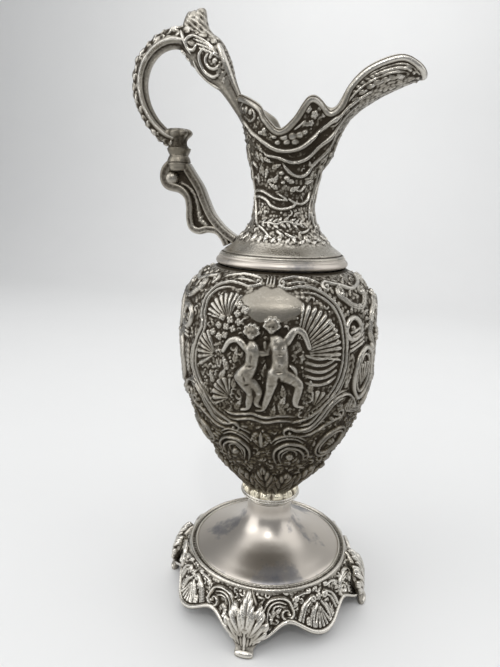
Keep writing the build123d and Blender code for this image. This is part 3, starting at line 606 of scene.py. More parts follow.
def medallion_picture(wall):
    """The two dancing figures under a plain sky, with a shell and flowers on their left, a great fan with
    beads on their right, and plants and rocks at their feet."""
    left = [
        [(-3.8, 155.6, 1.6), (-3, 152, 3.2), (-3, 148.4, 3.2), (-3.8, 144.6, 3.2), (-6.6, 140.6, 4.1)],
        [(-5, 151.8, 2.1), (0, 150.8, 1.9), (6, 151.4, 1.4)],
        [(-5, 151.6, 2.1), (-11, 155.4, 1.7), (-16, 154.4, 1.5), (-19.5, 149.6, 1.2)],
        [(-8.6, 139.4, 3.4), (-5.4, 135.4, 2.8), (-3.6, 132.4, 2.1), (-4.4, 127.6, 1.8), (-5.4, 124.6, 1.2),
         (-9, 123.4, 1)],
        [(-5.4, 139.4, 3.0), (-1.8, 136.6, 2.5), (0.8, 133, 2.0), (-0.4, 127.8, 1.5), (2.8, 125.8, 1.0)]]
    right = [
        [(6.6, 158.6, 1.5), (9.6, 155.4, 3.5), (10.6, 151.4, 3.8), (11, 147, 3.8), (10.4, 143, 4.2)],
        [(13.6, 156.6, 2.3), (17.6, 161.2, 1.8), (22, 160.2, 1.6), (25.4, 153.8, 1.3)],
        [(7, 155, 2.1), (4.4, 151.6, 1.6), (3, 155.4, 1.2)],
        [(8.4, 142.4, 3.4), (7, 136.8, 2.6), (6.2, 133.4, 2.1), (4.4, 128, 1.7), (3.2, 124.8, 1.1),
         (-0.4, 123.8, 0.9)],
        [(12.8, 142.4, 3.5), (18.6, 139.4, 2.7), (21.2, 136.6, 2.2), (20.2, 130, 1.8), (20.8, 127.4, 1.2),
         (24.6, 126.2, 0.9)]]
    wall.fan(wall.spot(18, 151, 36), 22.5, 92, 12, 1.4, inner=0.3)
    for tip in (14, 22, 30, 38):
        way = math.radians(tip)
        wall.knob(wall.spot(18 + 24.6 * math.cos(way), 151 + 20.6 * math.sin(way), 0), 1.1, 1.7)
    for drop in range(5):
        wall.ridge([(24, 150.4 - 3 * drop), (30, 148.8 - 3 * drop), (36, 149 - 3 * drop),
                    (42, 151.6 - 3 * drop)], 1.3, 1.1, "soft", ends=(0.5, 0.7))
    wall.fan(wall.spot(-18, 163, 122), 12.5, 105, 8, 1.5, inner=0.15)
    wall.fan(wall.spot(-25, 147, 165), 12.0, 110, 7, 1.4, inner=0.1)
    wall.fan(wall.spot(-16, 128, 150), 10, 130, 6, 1.3, inner=0.1)
    wall.fan(wall.spot(31, 125.5, 40), 9, 130, 6, 1.3, inner=0.15)
    for angle, level, radius in [(-9, 168.4, 2.4), (-12.6, 170.2, 2.3), (-13, 166.6, 2.1), (-22, 164.1, 2.0),
                                 (-17, 163.6, 2.2), (-12, 163, 2.1), (-19, 160.4, 2.1), (-15, 159.8, 2.0),
                                 (-24, 160.4, 2.0), (-23, 155.6, 2.2), (-19.4, 156.6, 2.1),
                                 (-27.6, 157, 1.9)]:
        wall.flower(wall.spot(angle, level, angle * 7), radius, 4, 1.5)
    cherub(wall, left, left_head, 1,
           [(-3.2, 149, 90, 0.7, -0.55, 5), (-6.2, 139.4, 100, 0.8, -0.9, 3), (-5.4, 153, 0, 1.8, 0.4, 1),
            (-3.6, 145, 10, 1.1, -0.5, 2.4), (-3.8, 132.4, 0, 1.4, 0.35, 1), (0.7, 133, 0, 1.3, 0.3, 1),
            (-10.8, 155.2, 40, 1.2, 0.35, 1), (-5.2, 136.6, 20, 0.7, -0.4, 3)])
    cherub(wall, right, right_head, -1,
           [(8.3, 153.4, 0, 1.9, 0.45, 1), (12.6, 153.8, 0, 1.9, 0.45, 1), (10.5, 151.2, 5, 0.6, -0.5, 4),
            (10.7, 147.4, 0, 2.7, 0.6, 1), (10.7, 146.8, 0, 0.7, -0.6, 1), (10.6, 143.8, 5, 0.7, -0.6, 3.6),
            (10.8, 140.2, 90, 1.0, -1.0, 2.2), (6.4, 133.6, 0, 1.5, 0.35, 1), (21, 136.8, 0, 1.5, 0.35, 1),
            (17.8, 161.4, 20, 1.3, 0.35, 1), (7.4, 137.4, 10, 0.7, -0.4, 3), (17.6, 139, 60, 0.7, -0.4, 3)])
    wall.ridge([(14.5, 147), (18.5, 144), (19.5, 139)], [0.8, 1.3, 0.9], 1.8, base=0.4)
    for low in (118.6, 121.2):
        wall.ridge([(-22, low), (-14, low - 1.2), (-4, low + 0.6), (4, low - 0.6), (13, low + 0.8),
                    (22, low)], 1.2, 1.2, "soft")
    for angle, level, turn in [(-27, 133, 100), (-22, 136, 60), (-31, 127, 130), (-14, 133, 75),
                               (14, 131, 100), (12, 126, 70), (28, 133, 95), (-13, 122.5, 60), (15, 122, 120),
                               (8, 121, 80), (-13, 145, 80), (-17, 141, 110), (3, 140, 85), (2, 146, 95)]:
        wall.leaf(wall.spot(angle, level, turn), 6.5, 3.4, 1.3, 4)
    wall.fill((-36, 118), (40, 160), 1100, 1.8, 0.9, 11)


def lower_scrolls(wall):
    """The large scrolls under the picture, each of several lines about a bead, and the leaves that rise from
    the knop, short ones behind long ones."""
    for step in range(-4, 5):
        wall.leaf(wall.spot(13.2 + 22.5 * step, 63, 90), 26, 9.5, 1.6, 3, tip=0.8, cut=0.45, steep=0.6)
    for step in range(-4, 5):
        wall.leaf(wall.spot(2 + 22.5 * step, 63, 90), 30 if step % 2 else 35, 13.5, 2.6, 4, tip=0.85,
                  cut=0.45, steep=0.6)
    for side in (-1, 1):
        def at(off, level):
            return (2 + side * off, level)

        ring = [at(11, 93), at(8.6, 98), at(9.4, 103), at(16, 106.6), at(25, 105.6), at(32, 101), at(35, 95)]
        wall.lines(ring, (0, -2.3 * side), [0.7, 1.0, 0.8], 2.1)
        wall.ridge([at(14, 96), at(14.4, 100.4), at(18.6, 103), at(23.4, 101.4), at(25, 97.6)], 0.7, 1.6)
        wall.knob(wall.spot(*at(19.4, 98.8), 0), 2.0, 2.9)
        wall.lines([at(6, 106), at(9, 109.4), at(15, 111.4), at(22, 111), at(29, 107.6)], (0, -1.6 * side),
                   0.6, 1.6)
        wall.frill([at(36, 95), at(34, 101), at(29, 105.6), at(24, 108)], 4.4, 2.4, 1.4, 6, 90 - side * 20)
        oval = [at(50 + 12 * math.cos(turn), 104 + (6.6 + side) * math.sin(turn) + 1.5 * math.cos(turn))
                for turn in np.linspace(0, 2 * math.pi, 15)]
        wall.lines(oval, (0, 1.8 * side), 0.7, 1.9, ends=(1, 1))
        wall.flower(wall.spot(*at(50, 104), 20), 2.6, 6, 2.0)
        sweep = [at(17, 115.6), at(22, 114.4), at(29, 116.4), at(34, 121.4), at(38, 126.4), at(44, 129.8),
                 at(51, 130), at(57, 126.6)]
        wall.scroll(sweep, 0.85, 2.1, start=(2.6, 0.8, side), end=(3.8, 1.0, -side))
        wall.lines(sweep[1:-1], (1.9 * side, -1.9 * side), 0.7, 1.7)
        wall.scroll([at(20, 110.8), at(30, 111.6), at(41, 116.6), at(49, 118.4)], 0.7, 1.6,
                    end=(2.4, 0.9, side))
        wall.frill([at(36, 115), at(43, 121), at(49, 125.4), at(57, 121.6)], 4.2, 2.4, 1.4, 8, -side * 75)
        wall.frill([at(22, 117.6), at(29, 120), at(34, 126)], 3.8, 2.2, 1.3, 5, side * 60)
    wall.ridge([(2, 112.6), (2, 103)], [0.8, 1.5, 0.7], 2.0)
    for lean in (-1, 1):
        wall.leaf(wall.spot(2 + lean * 1.5, 103.6, 90 + lean * 42), 8, 4, 1.7, 4)
        wall.leaf(wall.spot(2 + lean * 1.5, 112, -90 + lean * 35), 7, 3.6, 1.6, 4)


def side_panels(wall):
    """Each side of the body, by the seam: ovals, stacked ribs, scrolls, a fan, leaves, a flower and beads."""
    for seam, side in ((90, -1), (-90, 1)):
        def at(off, level):
            return (seam + side * off, level)

        def loop(off, level, wide, tall):
            return [at(off + wide * math.cos(turn), level + tall * math.sin(turn))
                    for turn in np.linspace(0, 2 * math.pi, 17)]

        wall.ridge(loop(37, 160.5, 5.6, 4.8), 1.5, 2.1, ends=(1, 1))
        wall.knob(wall.spot(*at(37, 160.5), 0), 1.8, 1.4)
        wall.ridge(loop(24, 138, 9.6, 12.2), 1.5, 2.1, ends=(1, 1))
        wall.ridge(loop(24, 138, 6.8, 9.2), 0.8, 1.5, ends=(1, 1))
        wall.fan(wall.spot(*at(24, 131), 90), 13, 70, 5, 1.7, inner=0.1)
        for step in range(5):
            wall.ridge([at(28, 153.6 + 2.0 * step), at(39, 150.6 + 2.0 * step)], 1.05, 1.8, ends=(0.8, 0.8))
        wall.scroll([at(10, 170), at(17, 165), at(20, 157), at(15, 151)], 1.9, 2.1, start=(3.6, 0.9, side),
                    end=(3.2, 0.9, side), shape="triple")
        wall.scroll([at(4, 131), at(10, 123), at(20, 119.4), at(31, 121)], 1.9, 2.2, start=(3.6, 0.9, -side),
                    end=(3.6, 0.9, side), shape="triple")
        wall.scroll([at(50, 180), at(40, 178.5), at(30, 176.8), at(18, 178), at(8, 180.4)], 1.1, 1.6,
                    start=(1.9, 0.9, -side), end=(1.9, 0.9, side))
        wall.scroll([at(43, 174), at(36, 170.4), at(27, 169.6), at(20, 173.6)], 1.4, 1.9,
                    start=(2.2, 0.9, side), end=(2.2, 0.9, -side), shape="triple")
        wall.frill([at(41, 166), at(33, 167.4), at(25, 165), at(24, 158)], 4.4, 2.6, 1.5, 8, 90 + side * 20)
        wall.leaf(wall.spot(*at(5, 156), 90), 18, 9, 2.0, 5)
        wall.leaf(wall.spot(*at(5, 150), -90), 18, 9, 2.0, 5)
        wall.flower(wall.spot(*at(4, 153), 0), 4.2, 6, 2.3)
        wall.leaf(wall.spot(*at(37, 149), -90 + side * 10), 16, 6.5, 1.8, 6)
        for level in (104, 108.4, 112.8, 117):
            wall.knob(wall.spot(*at(3.6, level), 0), 1.7, 1.8)


def cloud(angle, level):
    """Under 1 in the picture's plain sky: an ellipse, its radius waved by a cosine six times round."""
    wave = 1 + 0.08 * np.cos(6 * np.arctan2(level - 171, (angle - 4) * 0.8))
    return (((angle - 4) / 18) ** 2 + ((level - 171) / 7.3) ** 2) / wave ** 2


def body_wall():
    """The front half's wall from the knop to the lip, chased all over, with its ground left grainy."""
    wall = Chasing(turned(body_path, np.linspace(-90, 90, body_columns)), body_place)
    angle = np.linspace(-90, 90, body_columns)[None, :]
    level = body_path[:, 1][:, None]
    sky = cloud(angle, level)
    wall.ground[:] = step_up(0.9, 1.1, sky) * step_up(62.5, 64, level) * (1 - step_up(182.0, 182.8, level))
    medallion_picture(wall)
    for x, z in (left_head, right_head):
        hair = round(z + 0.6, 1)
        wall.dull += 0.3 * np.exp(-((angle - x) / 4.6) ** 4 - ((level - hair - 0.9) / 2.6) ** 4)
    medallion_frame(wall)
    side_panels(wall)
    lower_scrolls(wall)
    wall.fill((-90, 84), (90, 126), 1300, 2.0, 1.1, 23)
    wall.fill((-90, 124), (90, 181), 1700, 1.9, 0.9, 37)
    wall.grain(1.7, 0.35)
    seam = step_up(0, 1.2, 90 - np.abs(angle))
    wall.height *= seam * step_up(61.5, 63.5, level) * (1 - step_up(182.4, 183.2, level))
    return wall


# Neck
neck_columns = 291
neck_rows = 250
inner_rows = 46
rim_rows = 7
ray_rows = 420
neck_top = 281.5  # above every point of the mouth's edge
inner_floor = 191.5
rim_crest = 0.9
neck_path = even_line(neck_outline, 300)
mouth_path = smooth_line(mouth_line, 400)
trough_path = smooth_line(np.concatenate([trough_line, trough_shape], axis=1), 200)


def mouth_level(x):
    """Height of the mouth's edge at x."""
    return np.interp(x, mouth_path[:, 0], mouth_path[:, 1])


def trough_half(x, z, inset):
    """Half width of the spout's trough at x and a height: a half ellipse over the floor, straight above it,
    and less than nothing under it."""
    floor = np.interp(x, trough_path[:, 0], trough_path[:, 1]) + inset
    half = np.interp(x, trough_path[:, 0], trough_path[:, 2]) - inset
    depth = np.interp(x, trough_path[:, 0], trough_path[:, 3])
    drop = np.clip((floor + depth - z) / depth, 0, 1)
    return np.where((z > floor) & (x >= 0), half * np.sqrt(1 - drop ** 2), -1)


def neck_radius(angles, levels, inset=0.0):
    """Distance from the axis to the neck's wall: the greater of the turned bowl's radius and the trough's,
    blended by a power mean. The trough's is halved in on, since a ray from the axis leaves it once."""
    sine, cosine = np.sin(np.radians(angles)), np.abs(np.cos(np.radians(angles)))
    bowl = np.interp(levels, neck_path[:, 1], neck_path[:, 0]) - inset
    low = np.zeros(np.broadcast(angles, levels).shape)
    high = low + 75
    for _ in range(22):
        middle = (low + high) / 2
        inside = trough_half(middle * sine, levels, inset) > middle * cosine
        low = np.where(inside, middle, low)
        high = np.where(inside, high, middle)
    return bowl * (1 + (low / bowl) ** 24) ** (1 / 24)


def neck_place(knots):
    """Points on the neck's wall at angles and heights."""
    return about_axis(neck_radius(knots[:, 0], knots[:, 1]), knots[:, 0], knots[:, 1])


def under_mouth(x, drop):
    """Angle and height of the place on the wall at x, a drop under the mouth's edge."""
    z = mouth_level(x) - drop
    bowl = np.interp(z, neck_path[:, 1], neck_path[:, 0])
    y = max(float(trough_half(x, z, 0.0)), math.sqrt(max(bowl ** 2 - x ** 2, 0)), 0.05)
    return math.degrees(math.atan2(x, y)), float(z)


def neck_sheet(angles, rows, inset, lowest):
    """Grid of the neck's wall from its lowest height to the mouth, each column's points an equal way apart. A
    column ends where its height first passes the mouth's at its x."""
    levels = np.linspace(lowest, neck_top, ray_rows)[:, None]
    r = neck_radius(angles[None, :], levels, inset)
    x = r * np.sin(np.radians(angles))
    over = levels - mouth_level(x)
    grid = np.zeros((rows, len(angles), 3))
    for column, angle in enumerate(np.radians(angles)):
        last = int(np.argmax(over[:, column] > 0))
        share = over[last - 1, column] / (over[last - 1, column] - over[last, column])
        z, radius = (np.append(run[:last], run[last - 1] + share * (run[last] - run[last - 1]))
                     for run in (levels[:, 0], r[:, column]))
        way = np.concatenate([[0], np.cumsum(np.hypot(np.diff(z), np.diff(radius)))])
        stops = np.linspace(0, way[-1], rows)
        radius = np.interp(stops, way, radius)
        grid[:, column, 0] = radius * math.sin(angle)
        grid[:, column, 1] = -radius * math.cos(angle)
        grid[:, column, 2] = np.interp(stops, way, z)
    return grid


def neck_angles():
    """Columns of the neck, as close along the mouth's edge as round the neck."""
    fine = np.linspace(-90, 90, 721)
    edge = neck_sheet(fine, 3, 0.0, neck_outline[0][1])[-1]
    way = way_along(edge)
    share = 0.6 * way / way[-1] + 0.4 * (fine + 90) / 180
    return np.interp(np.linspace(0, 1, neck_columns), share, fine)


def neck_chasing(wall):
    """Ribbons that sweep from behind the handle down and up to the spout, with a cartouche, blocks, flowers
    and a branch between them, panel lines down the sides, a lower festoon, and leaves on the flange."""
    for knots, width, height in [
            ([(-76, 252.6), (-57, 248.6), (-45, 244.8), (-30, 241.2), (-20, 238.9), (-9, 236.8), (3, 235.9),
              (18, 236.4), (31, 238.4), (41, 241.4), (51, 245.2), (60, 249.8), (69, 256), (76, 262)],
             [0.9, 1.2, 1.3, 1.1], 1.6),
            ([(-25, 235.4), (-20, 234.2), (-9, 233.5), (-1, 233.0), (8, 231.9), (19, 231.3), (31, 232.0),
              (43, 234.3), (51, 238.2), (60, 243.2), (69, 250), (76, 256.6)], [1.0, 1.1, 0.9], 1.4),
            ([(4, 230.8), (8, 229), (14, 227.2), (24, 225.7), (35, 225.5), (45, 227.2), (52, 231),
              (60, 236.4), (69, 244)], 0.95, 1.3),
            ([(-88, 240), (-76, 233), (-66, 230), (-54, 231.5), (-44, 229)], 0.9, 1.2),
            ([(-88, 231), (-76, 225.4), (-64, 223.4), (-52, 225), (-42, 223)], 0.8, 1.1),
            ([(-64, 218), (-50, 218.9), (-32, 218.4), (-17, 216.5), (-3, 215), (14, 214.7)], 0.85, 1.3),
            ([(-2, 217.4), (6, 216.2), (14, 214.9)], 0.6, 1.1),
            ([(-60, 215.6), (-46, 216.3), (-27, 214.9), (-16, 212.3), (-4, 210.9), (10, 210.8), (25, 212.2),
              (32, 214.6)], 1.0, 1.4),
            ([(17, 215.4), (27, 213.8), (41, 213.4), (54, 215.5), (59, 219)], 0.85, 1.3),
            ([(-64, 240), (-62, 228), (-61, 217), (-55, 211.5), (-46, 206.3), (-36, 203.2), (-22, 201.4),
              (-6, 197.8)], 0.8, 1.1),
            ([(88, 232), (85, 224), (76, 218.4), (69, 212.5), (66, 207.2), (68, 202)], 0.9, 1.2),
            ([(70, 234), (74, 226), (70, 219), (62, 212), (58, 206)], 0.7, 1.0),
            ([(16, 244.6), (22, 246.4), (29, 248.8)], 0.6, 0.9),
            ([(-60, 256), (-50, 257), (-40, 255.2), (-33, 250.8), (-42, 248.6), (-55, 251.2)], 0.6, 0.9),
            ([(-1, 201.2), (10, 198.6)], 0.8, 1.1),
            ([(12, 200), (24, 197.8)], 0.8, 1.1),
            ([(32, 200.3), (42, 200.8), (53, 202.3)], 0.7, 1.0),
            ([(28, 219.5), (37, 219.2), (46, 221.6)], 0.7, 1.1)]:
        wall.ridge(knots, width, height, ends=(0.5, 0.5))
    for x in np.arange(-19, -8, 2.2):
        wall.knob(wall.spot(*under_mouth(x, 5.0), 0), 0.8, 0.8)
    for angle, level, radius in [(4, 241.5, 1.7), (8, 239.5, 1.5), (15, 242.1, 1.8), (19, 239.8, 1.6),
                                 (23.5, 242.6, 1.7), (30, 243.9, 1.3), (-8, 241.9, 1.3), (-4, 239.3, 1.3),
                                 (-48, 253.8, 1.5), (-40, 252.4, 1.5), (-22, 244.6, 1.1), (-28, 243.5, 1.0),
                                 (73, 230.6, 1.7), (78, 236, 1.5), (11, 224.6, 1.3), (2, 226.6, 1.2),
                                 (5, 222.6, 1.0)]:
        wall.knob(wall.spot(angle, level, 15), radius, 1.1, long=1.2)
    for angle, level, radius in [(30, 253.2, 2.0), (39, 251.2, 2.2), (36, 247.8, 1.7), (45, 254.6, 1.6)]:
        wall.flower(wall.spot(angle, level, 0), radius, 5, 1.2)
    for angle, level, turn in [(20, 250.5, 70), (24, 247.6, -10), (50, 250.5, 60), (12, 246.6, 130),
                               (-18, 242.5, 160), (-36, 238.6, -50), (-33, 235.4, -70), (-27, 233.2, -30),
                               (-23, 228.6, -100), (-33, 229.8, -80), (-42, 236, -60), (-38, 226, 70),
                               (-14, 228.6, 20), (44, 222.6, 20), (-46, 222, 80), (56, 224, 90),
                               (52, 228.5, 120), (24, 222.6, 160), (-12, 222, 60), (-24, 222.6, 20),
                               (-4, 219.6, 150), (18, 218.8, 30), (62, 232, 80)]:
        wall.leaf(wall.spot(angle, level, turn), 4.8, 2.5, 1.1, 3)
    branch = [(-27, 203.9), (-15, 204.4), (-3, 203.7), (8, 204.8), (19, 205), (30, 204), (46, 204.7)]
    wall.ridge(branch, 0.7, 1.1)
    wall.frill(branch, 3.8, 2.0, 1.1, 8, 48)
    wall.frill(branch, 3.6, 2.0, 1.1, 7, -52)
    for angle in range(-80, 92, 17):
        wall.leaf(wall.spot(angle, 199.2, -90 + 0.6 * angle), 4.4, 2.4, 0.9, 3)
        wall.leaf(wall.spot(angle + 8, 195.8, 60 - angle), 3.4, 2.0, 0.7, 3)
    wall.leaf(wall.spot(-80, 206, 90), 10, 4, 1.0, 5)
    wall.fill((-90, 199), (78, 252), 260, 1.5, 0.7, 3)


def spout_chasing(wall):
    """Two lines that follow the mouth's edge along the spout, with a row of beads and a row of small leaves
    between, and a long leaf under the spout."""
    xs = np.linspace(21, 58, 24)
    wall.ridge([under_mouth(x, 3.6) for x in xs], 0.45, 0.6, ends=(1, 1), count=120)
    wall.ridge([under_mouth(x, 6.6) for x in xs[:-4]], 0.5, 0.7, ends=(1, 0.4), count=120)
    for x in np.arange(22, 57, 1.9):
        wall.knob(wall.spot(*under_mouth(x, 5.1), 0), 0.72, 0.7)
    for x in np.arange(26, 50, 3.0):
        wall.leaf(wall.spot(*under_mouth(x, 8.4), 60), 3.4, 2.0, 0.8, 3)
    wall.leaf(wall.spot(89.9, 226, 90), 22, 9, 1.1, 6)


def neck():
    """Both halves of the neck: the chased outside, the rolled edge of the mouth, and the plain inside down to
    the collar. The edge's bead is a half ellipse down to its depth from the mouth's line."""
    angles = neck_angles()
    outside = neck_sheet(angles, neck_rows, 0.0, neck_outline[0][1])
    inside = neck_sheet(angles, inner_rows, neck_wall, inner_floor)
    wall = Chasing(outside, neck_place)
    edge = outside[-1]
    gap = np.full(outside.shape[:2], 99.0)
    for part in range(0, neck_columns, 30):
        away = np.linalg.norm(outside[-70:, :, None] - edge[None, None, part:part + 30], axis=3).min(2)
        gap[-70:] = np.minimum(gap[-70:], away)
    level = outside[..., 2]
    wall.ground[:] = step_up(193.6, 195.4, level) * step_up(2.4, 3.4, gap)
    neck_chasing(wall)
    spout_chasing(wall)
    wall.grain(1.4, 0.22)
    seam = step_up(0, 0.8, 90 - np.abs(angles))[None, :]
    wall.height *= step_up(rim_bead_depth - 0.6, rim_bead_depth + 0.8, gap) * seam
    bead = np.sqrt(np.clip(1 - (2 * gap / rim_bead_depth - 1) ** 2, 0, 1))
    wall.height = np.maximum(wall.height, rim_bead * bead * (0.6 + 0.4 * seam))
    wall.height -= 0.35 * np.exp(-((level - 190.0) / 0.3) ** 2)
    front = wall.worked()
    hollow = wall.hollows(3, 8, 1.0) + 0.07 * step_up(194, 200, level)
    turn = np.linspace(0, math.pi, rim_rows + 2)[1:-1, None, None]
    middle = (front[-1] + inside[-1]) / 2
    half = (front[-1] - inside[-1]) / 2
    crest = np.array([0, 0, rim_crest])
    roll = middle + np.cos(turn) * half + np.sin(turn) * crest
    front = np.concatenate([front, roll, inside[::-1]])
    # The plain inside is painted darker the deeper it lies: painted shade inside the neck
    depth = np.linspace(0.42, 0.62, inner_rows)[:, None] + np.zeros(neck_columns)
    hollow = np.concatenate([hollow, np.full((rim_rows, neck_columns), 0.3), depth])
    mesh_piece("neck_front", [(front, hollow)], ["neck_front_half"], chased)
    mesh_piece("neck_back", [(mirrored(front), hollow[:, ::-1])], ["neck_back_half"], chased)


# Skirt and its leaf feet
skirt_columns = 721
border_rows = 34
slope_rows = 84
under_rows = 16
skirt_seat_radius = 36.3
under_drop = 0.4
skirt_path = even_line(skirt_outline, 200)
skirt_way = way_along(skirt_path)


def skirt_edge(angles):
    """Radius of the skirt's lobed edge: 51.3 + cos 4a + 2.7 cos 8a, shortest in the notches, and drawn in
    behind each foot by a bell of 3.4."""
    a = np.radians(angles)
    off = np.mod(angles + 45, 90) - 45
    return 51.3 + np.cos(4 * a) + 2.7 * np.cos(8 * a) - 3.4 * np.exp(-(off / 7.5) ** 2)


def skirt_line(way):
    """Radius and height of the skirt's slope at a way down from the border."""
    return np.interp(way, skirt_way, skirt_path[:, 0]), np.interp(way, skirt_way, skirt_path[:, 1])


def skirt_place(knots):
    """Points on the skirt's slope at angles and ways down from the border."""
    r, z = skirt_line(knots[:, 1])
    return about_axis(r, knots[:, 0], z)


def skirt_sheet():
    """Grid of the skirt: from the dome's seat over the border's two lines and its channel, down the slope to
    the lobed edge, round it, and up again inside."""
    angles = np.linspace(0, 360, skirt_columns)
    border = [(skirt_seat_radius, dome_edge), (39.3, dome_edge), (39.4, 28.9), (39.8, 29.5), (40.3, 29.5),
              (40.65, 28.7), (41.0, 28.45), (41.8, 28.45), (42.1, 28.8), (42.5, 29.5), (43.1, 29.6),
              (43.7, 29.0)]
    top = turned(even_line(border, border_rows), angles)
    ends = np.interp(skirt_edge(angles), skirt_path[:, 0], skirt_way)
    shares = np.linspace(0, 1, slope_rows)[:, None]
    way = shares * ends[None, :]
    r, z = skirt_line(way)
    slope = about_axis(r, angles, z)
    r, z = skirt_line(np.linspace(1, 0, under_rows)[:, None] * ends[None, :])
    under = about_axis(r - skirt_wall, angles, z - under_drop)
    seat = turned([(37.5, 25.0), (skirt_seat_radius, 25.6), (skirt_seat_radius, dome_edge)], angles)
    return angles, top, slope, way, np.concatenate([under, seat])


def skirt_chasing(wall):
    """The same ornament about each foot and each lobe between: a large scroll of three lines on each side of
    a foot, a shell with beads on each lobe, small scrolls and leaves between them. A spot's first direction
    turned by 90 points down the slope."""
    for foot in range(0, 360, 90):
        for side in (-1, 1):
            def at(off, way):
                return (foot + side * off, way)

            sweep = [at(9.0, 14), at(9.2, 8), at(12.6, 3.6), at(18.5, 2.3), at(24, 4.0), at(26.8, 8.6)]
            wall.scroll(sweep, 0.85, 2.2, start=(2.4, 0.7, side), end=(3.4, 1.1, side))
            wall.lines(sweep[:-1], (1.9 * side,), 0.75, 1.9)
            wall.lines(sweep[1:-1], (3.7 * side,), 0.7, 1.6)
            wall.frill([at(14, 15), at(15, 11), at(18.6, 9.4)], 4.6, 2.4, 1.5, 5, -90 + side * 60)
            wall.scroll([at(15, 19), at(18, 16.4), at(22, 16.6), at(24.6, 19)], 0.75, 1.7,
                        start=(1.4, 0.8, side), end=(1.4, 0.8, side))
            sweep = [at(29.4, 18), at(31.4, 12), at(34, 7.4), at(39, 4.4)]
            wall.scroll(sweep, 0.8, 1.9, start=(2.0, 0.9, side), end=(1.8, 0.9, side))
            wall.lines(sweep, (1.7 * side,), 0.6, 1.5)
            wall.scroll([at(29.5, 2.6), at(33.5, 1.8), at(38, 2.0)], 0.65, 1.3, start=(1.3, 0.8, -side),
                        end=(1.0, 0.8, -side))
            wall.frill([at(27.6, 3), at(30.4, 6), at(30, 10.4)], 3.4, 1.8, 1.3, 4, side * 60)
            wall.leaf(wall.spot(*at(32.6, 19.4), 90 - side * 20), 5.4, 3.2, 1.6, 4)
            wall.leaf(wall.spot(*at(36.6, 13.5), 90 + side * 10), 5.4, 2.8, 1.5, 4)
            wall.ridge([at(38.4, 20.5), at(40.2, 13), at(43.4, 8.5)], 0.7, 1.6, ends=(0.8, 0.6))
            wall.ridge([at(36.8, 19.5), at(38.2, 14), at(40.8, 9.5)], 0.6, 1.3, ends=(0.8, 0.6))
        wall.fan(wall.spot(foot + 45, 9.5, 90), 11.5, 62, 5, 1.7, inner=0.1)
        for step in (-2, -1, 0, 1, 2):
            wall.knob(wall.spot(foot + 45 + 2.9 * step, 21.3 - 0.35 * step ** 2, 0), 1.2, 1.8)
        wall.flower(wall.spot(foot + 45, 5.6, 0), 2.4, 5, 1.6)
    wall.fill((0, 1.2), (360, 23), 2200, 1.7, 1.0, 5)


def leaf_foot(turn):
    """Sheet of one leaf foot, a closed tube from the border to the pad. Down it go the front and back lines
    of its side view. Its half width swells at the leaf, is least at the ankle and flares at the toe. Rounded
    folds lie on its front, and over them a leaf upright in the middle and two pairs that lean outwards."""
    rows = 130
    front = even_line([(42.9, 29.4), (45.4, 28.5), (48.4, 26.0), (51.8, 21.0), (53.8, 15.5), (54.3, 9.8),
                       (54.7, 5.4), (55.6, 3.4), (56.5, 2.0), (56.6, 0.4)], rows)
    back = even_line([(42.0, 25.0), (44.4, 21.0), (47.0, 16.0), (49.6, 11.0), (51.2, 6.0), (52.2, 2.0),
                      (52.6, 0.0)], rows)
    z = front[:, 1]
    half = np.interp(z, [0, 1.6, 3.0, 4.2, 6, 9, 12, 15, 19, 22, 24.5, 26.2, 28.0, 29.4],
                     [4.5, 4.8, 4.6, 4.4, 5.4, 7.0, 8.8, 10.2, 10.4, 8.6, 6.2, 4.2, 3.0, 1.4])
    a = np.linspace(-math.pi, math.pi, 121)
    across = np.sin(a)[None, :]
    facing = np.cos(a)[None, :]
    level = z[:, None]
    slant = level / 4.4 - 0.5 * np.abs(across)
    leafy = step_up(5, 9, level)
    width = half[:, None] * (1 + leafy * (0.1 * np.abs(np.sin(math.pi * slant)) - 0.04))
    width = width * np.sign(across) * np.abs(across) ** 0.85
    blend = np.clip(0.5 + 0.5 * np.sign(facing) * np.abs(facing) ** 0.75, 0, 1)[..., None]
    side = front[:, None] * blend + back[:, None] * (1 - blend)
    radial = np.array([math.sin(math.radians(turn)), -math.cos(math.radians(turn)), 0])
    around = np.array([-radial[1], radial[0], 0])
    rise = np.array([0, 0, 1.0])
    points = side[..., :1] * radial + width[..., None] * around + np.maximum(side[..., 1:], 0) * rise
    wall = Chasing(points[::-1])
    for lean in (-1, 1):
        def at(off, low, tilt):
            here = int(np.argmin(np.abs(z - low)))
            up = unit(front[max(here - 2, 0)] - front[min(here + 2, rows - 1)])
            up = up[0] * radial + up[1] * rise
            centre = front[here, 0] * radial + lean * off * around + low * rise
            c, s = math.cos(math.radians(tilt)), lean * math.sin(math.radians(tilt))
            return centre, c * up + s * around, c * around - s * up

        for off, low, tilt, radius, long, height in [
                (5.4, 9.5, 28, 1.0, 3.6, 0.7), (3.6, 9.5, 18, 0.9, 4.2, 0.7), (1.8, 9.5, 8, 0.9, 5.0, 0.7),
                (0, 11, 0, 0.9, 9.0, 1.3), (0, 2.4, 90, 1.6, 3.0, 0.7)]:
            wall.knob(at(off, low, tilt), radius, height, long=long)
        wall.leaf(at(3.4, 8.4, 40), 14.0, 8.4, 1.6, 2, tip=0.9, cut=0.3, steep=0.7)
        wall.leaf(at(1.6, 10.5, 20), 16.0, 8.6, 2.1, 2, tip=0.95, cut=0.3, steep=0.7)
        wall.leaf(at(0, 12.5, 0), 17.0, 8.4, 2.6, 3, tip=0.9, cut=0.3, steep=0.7)
    wall.height *= np.clip(2.5 * facing, 0, 1)
    low = points[::-1, :, 2]
    shade = 0.16 * step_up(4, 7, low) * (1 - step_up(12, 18, low))
    # Painted light and shade: the foot's outer face is painted lighter and its inner face, under the skirt,
    # darker; the band from 4 to 18 mm up is painted shade
    marks = wall.hollows(3, 9, 0.8) - 0.15 * (facing > 0) + 0.12 * (facing <= 0) + shade
    points = wall.worked()
    points[..., 2] = np.maximum(points[..., 2], 0)
    return capped(points, np.clip(marks, 0.05, 0.85))


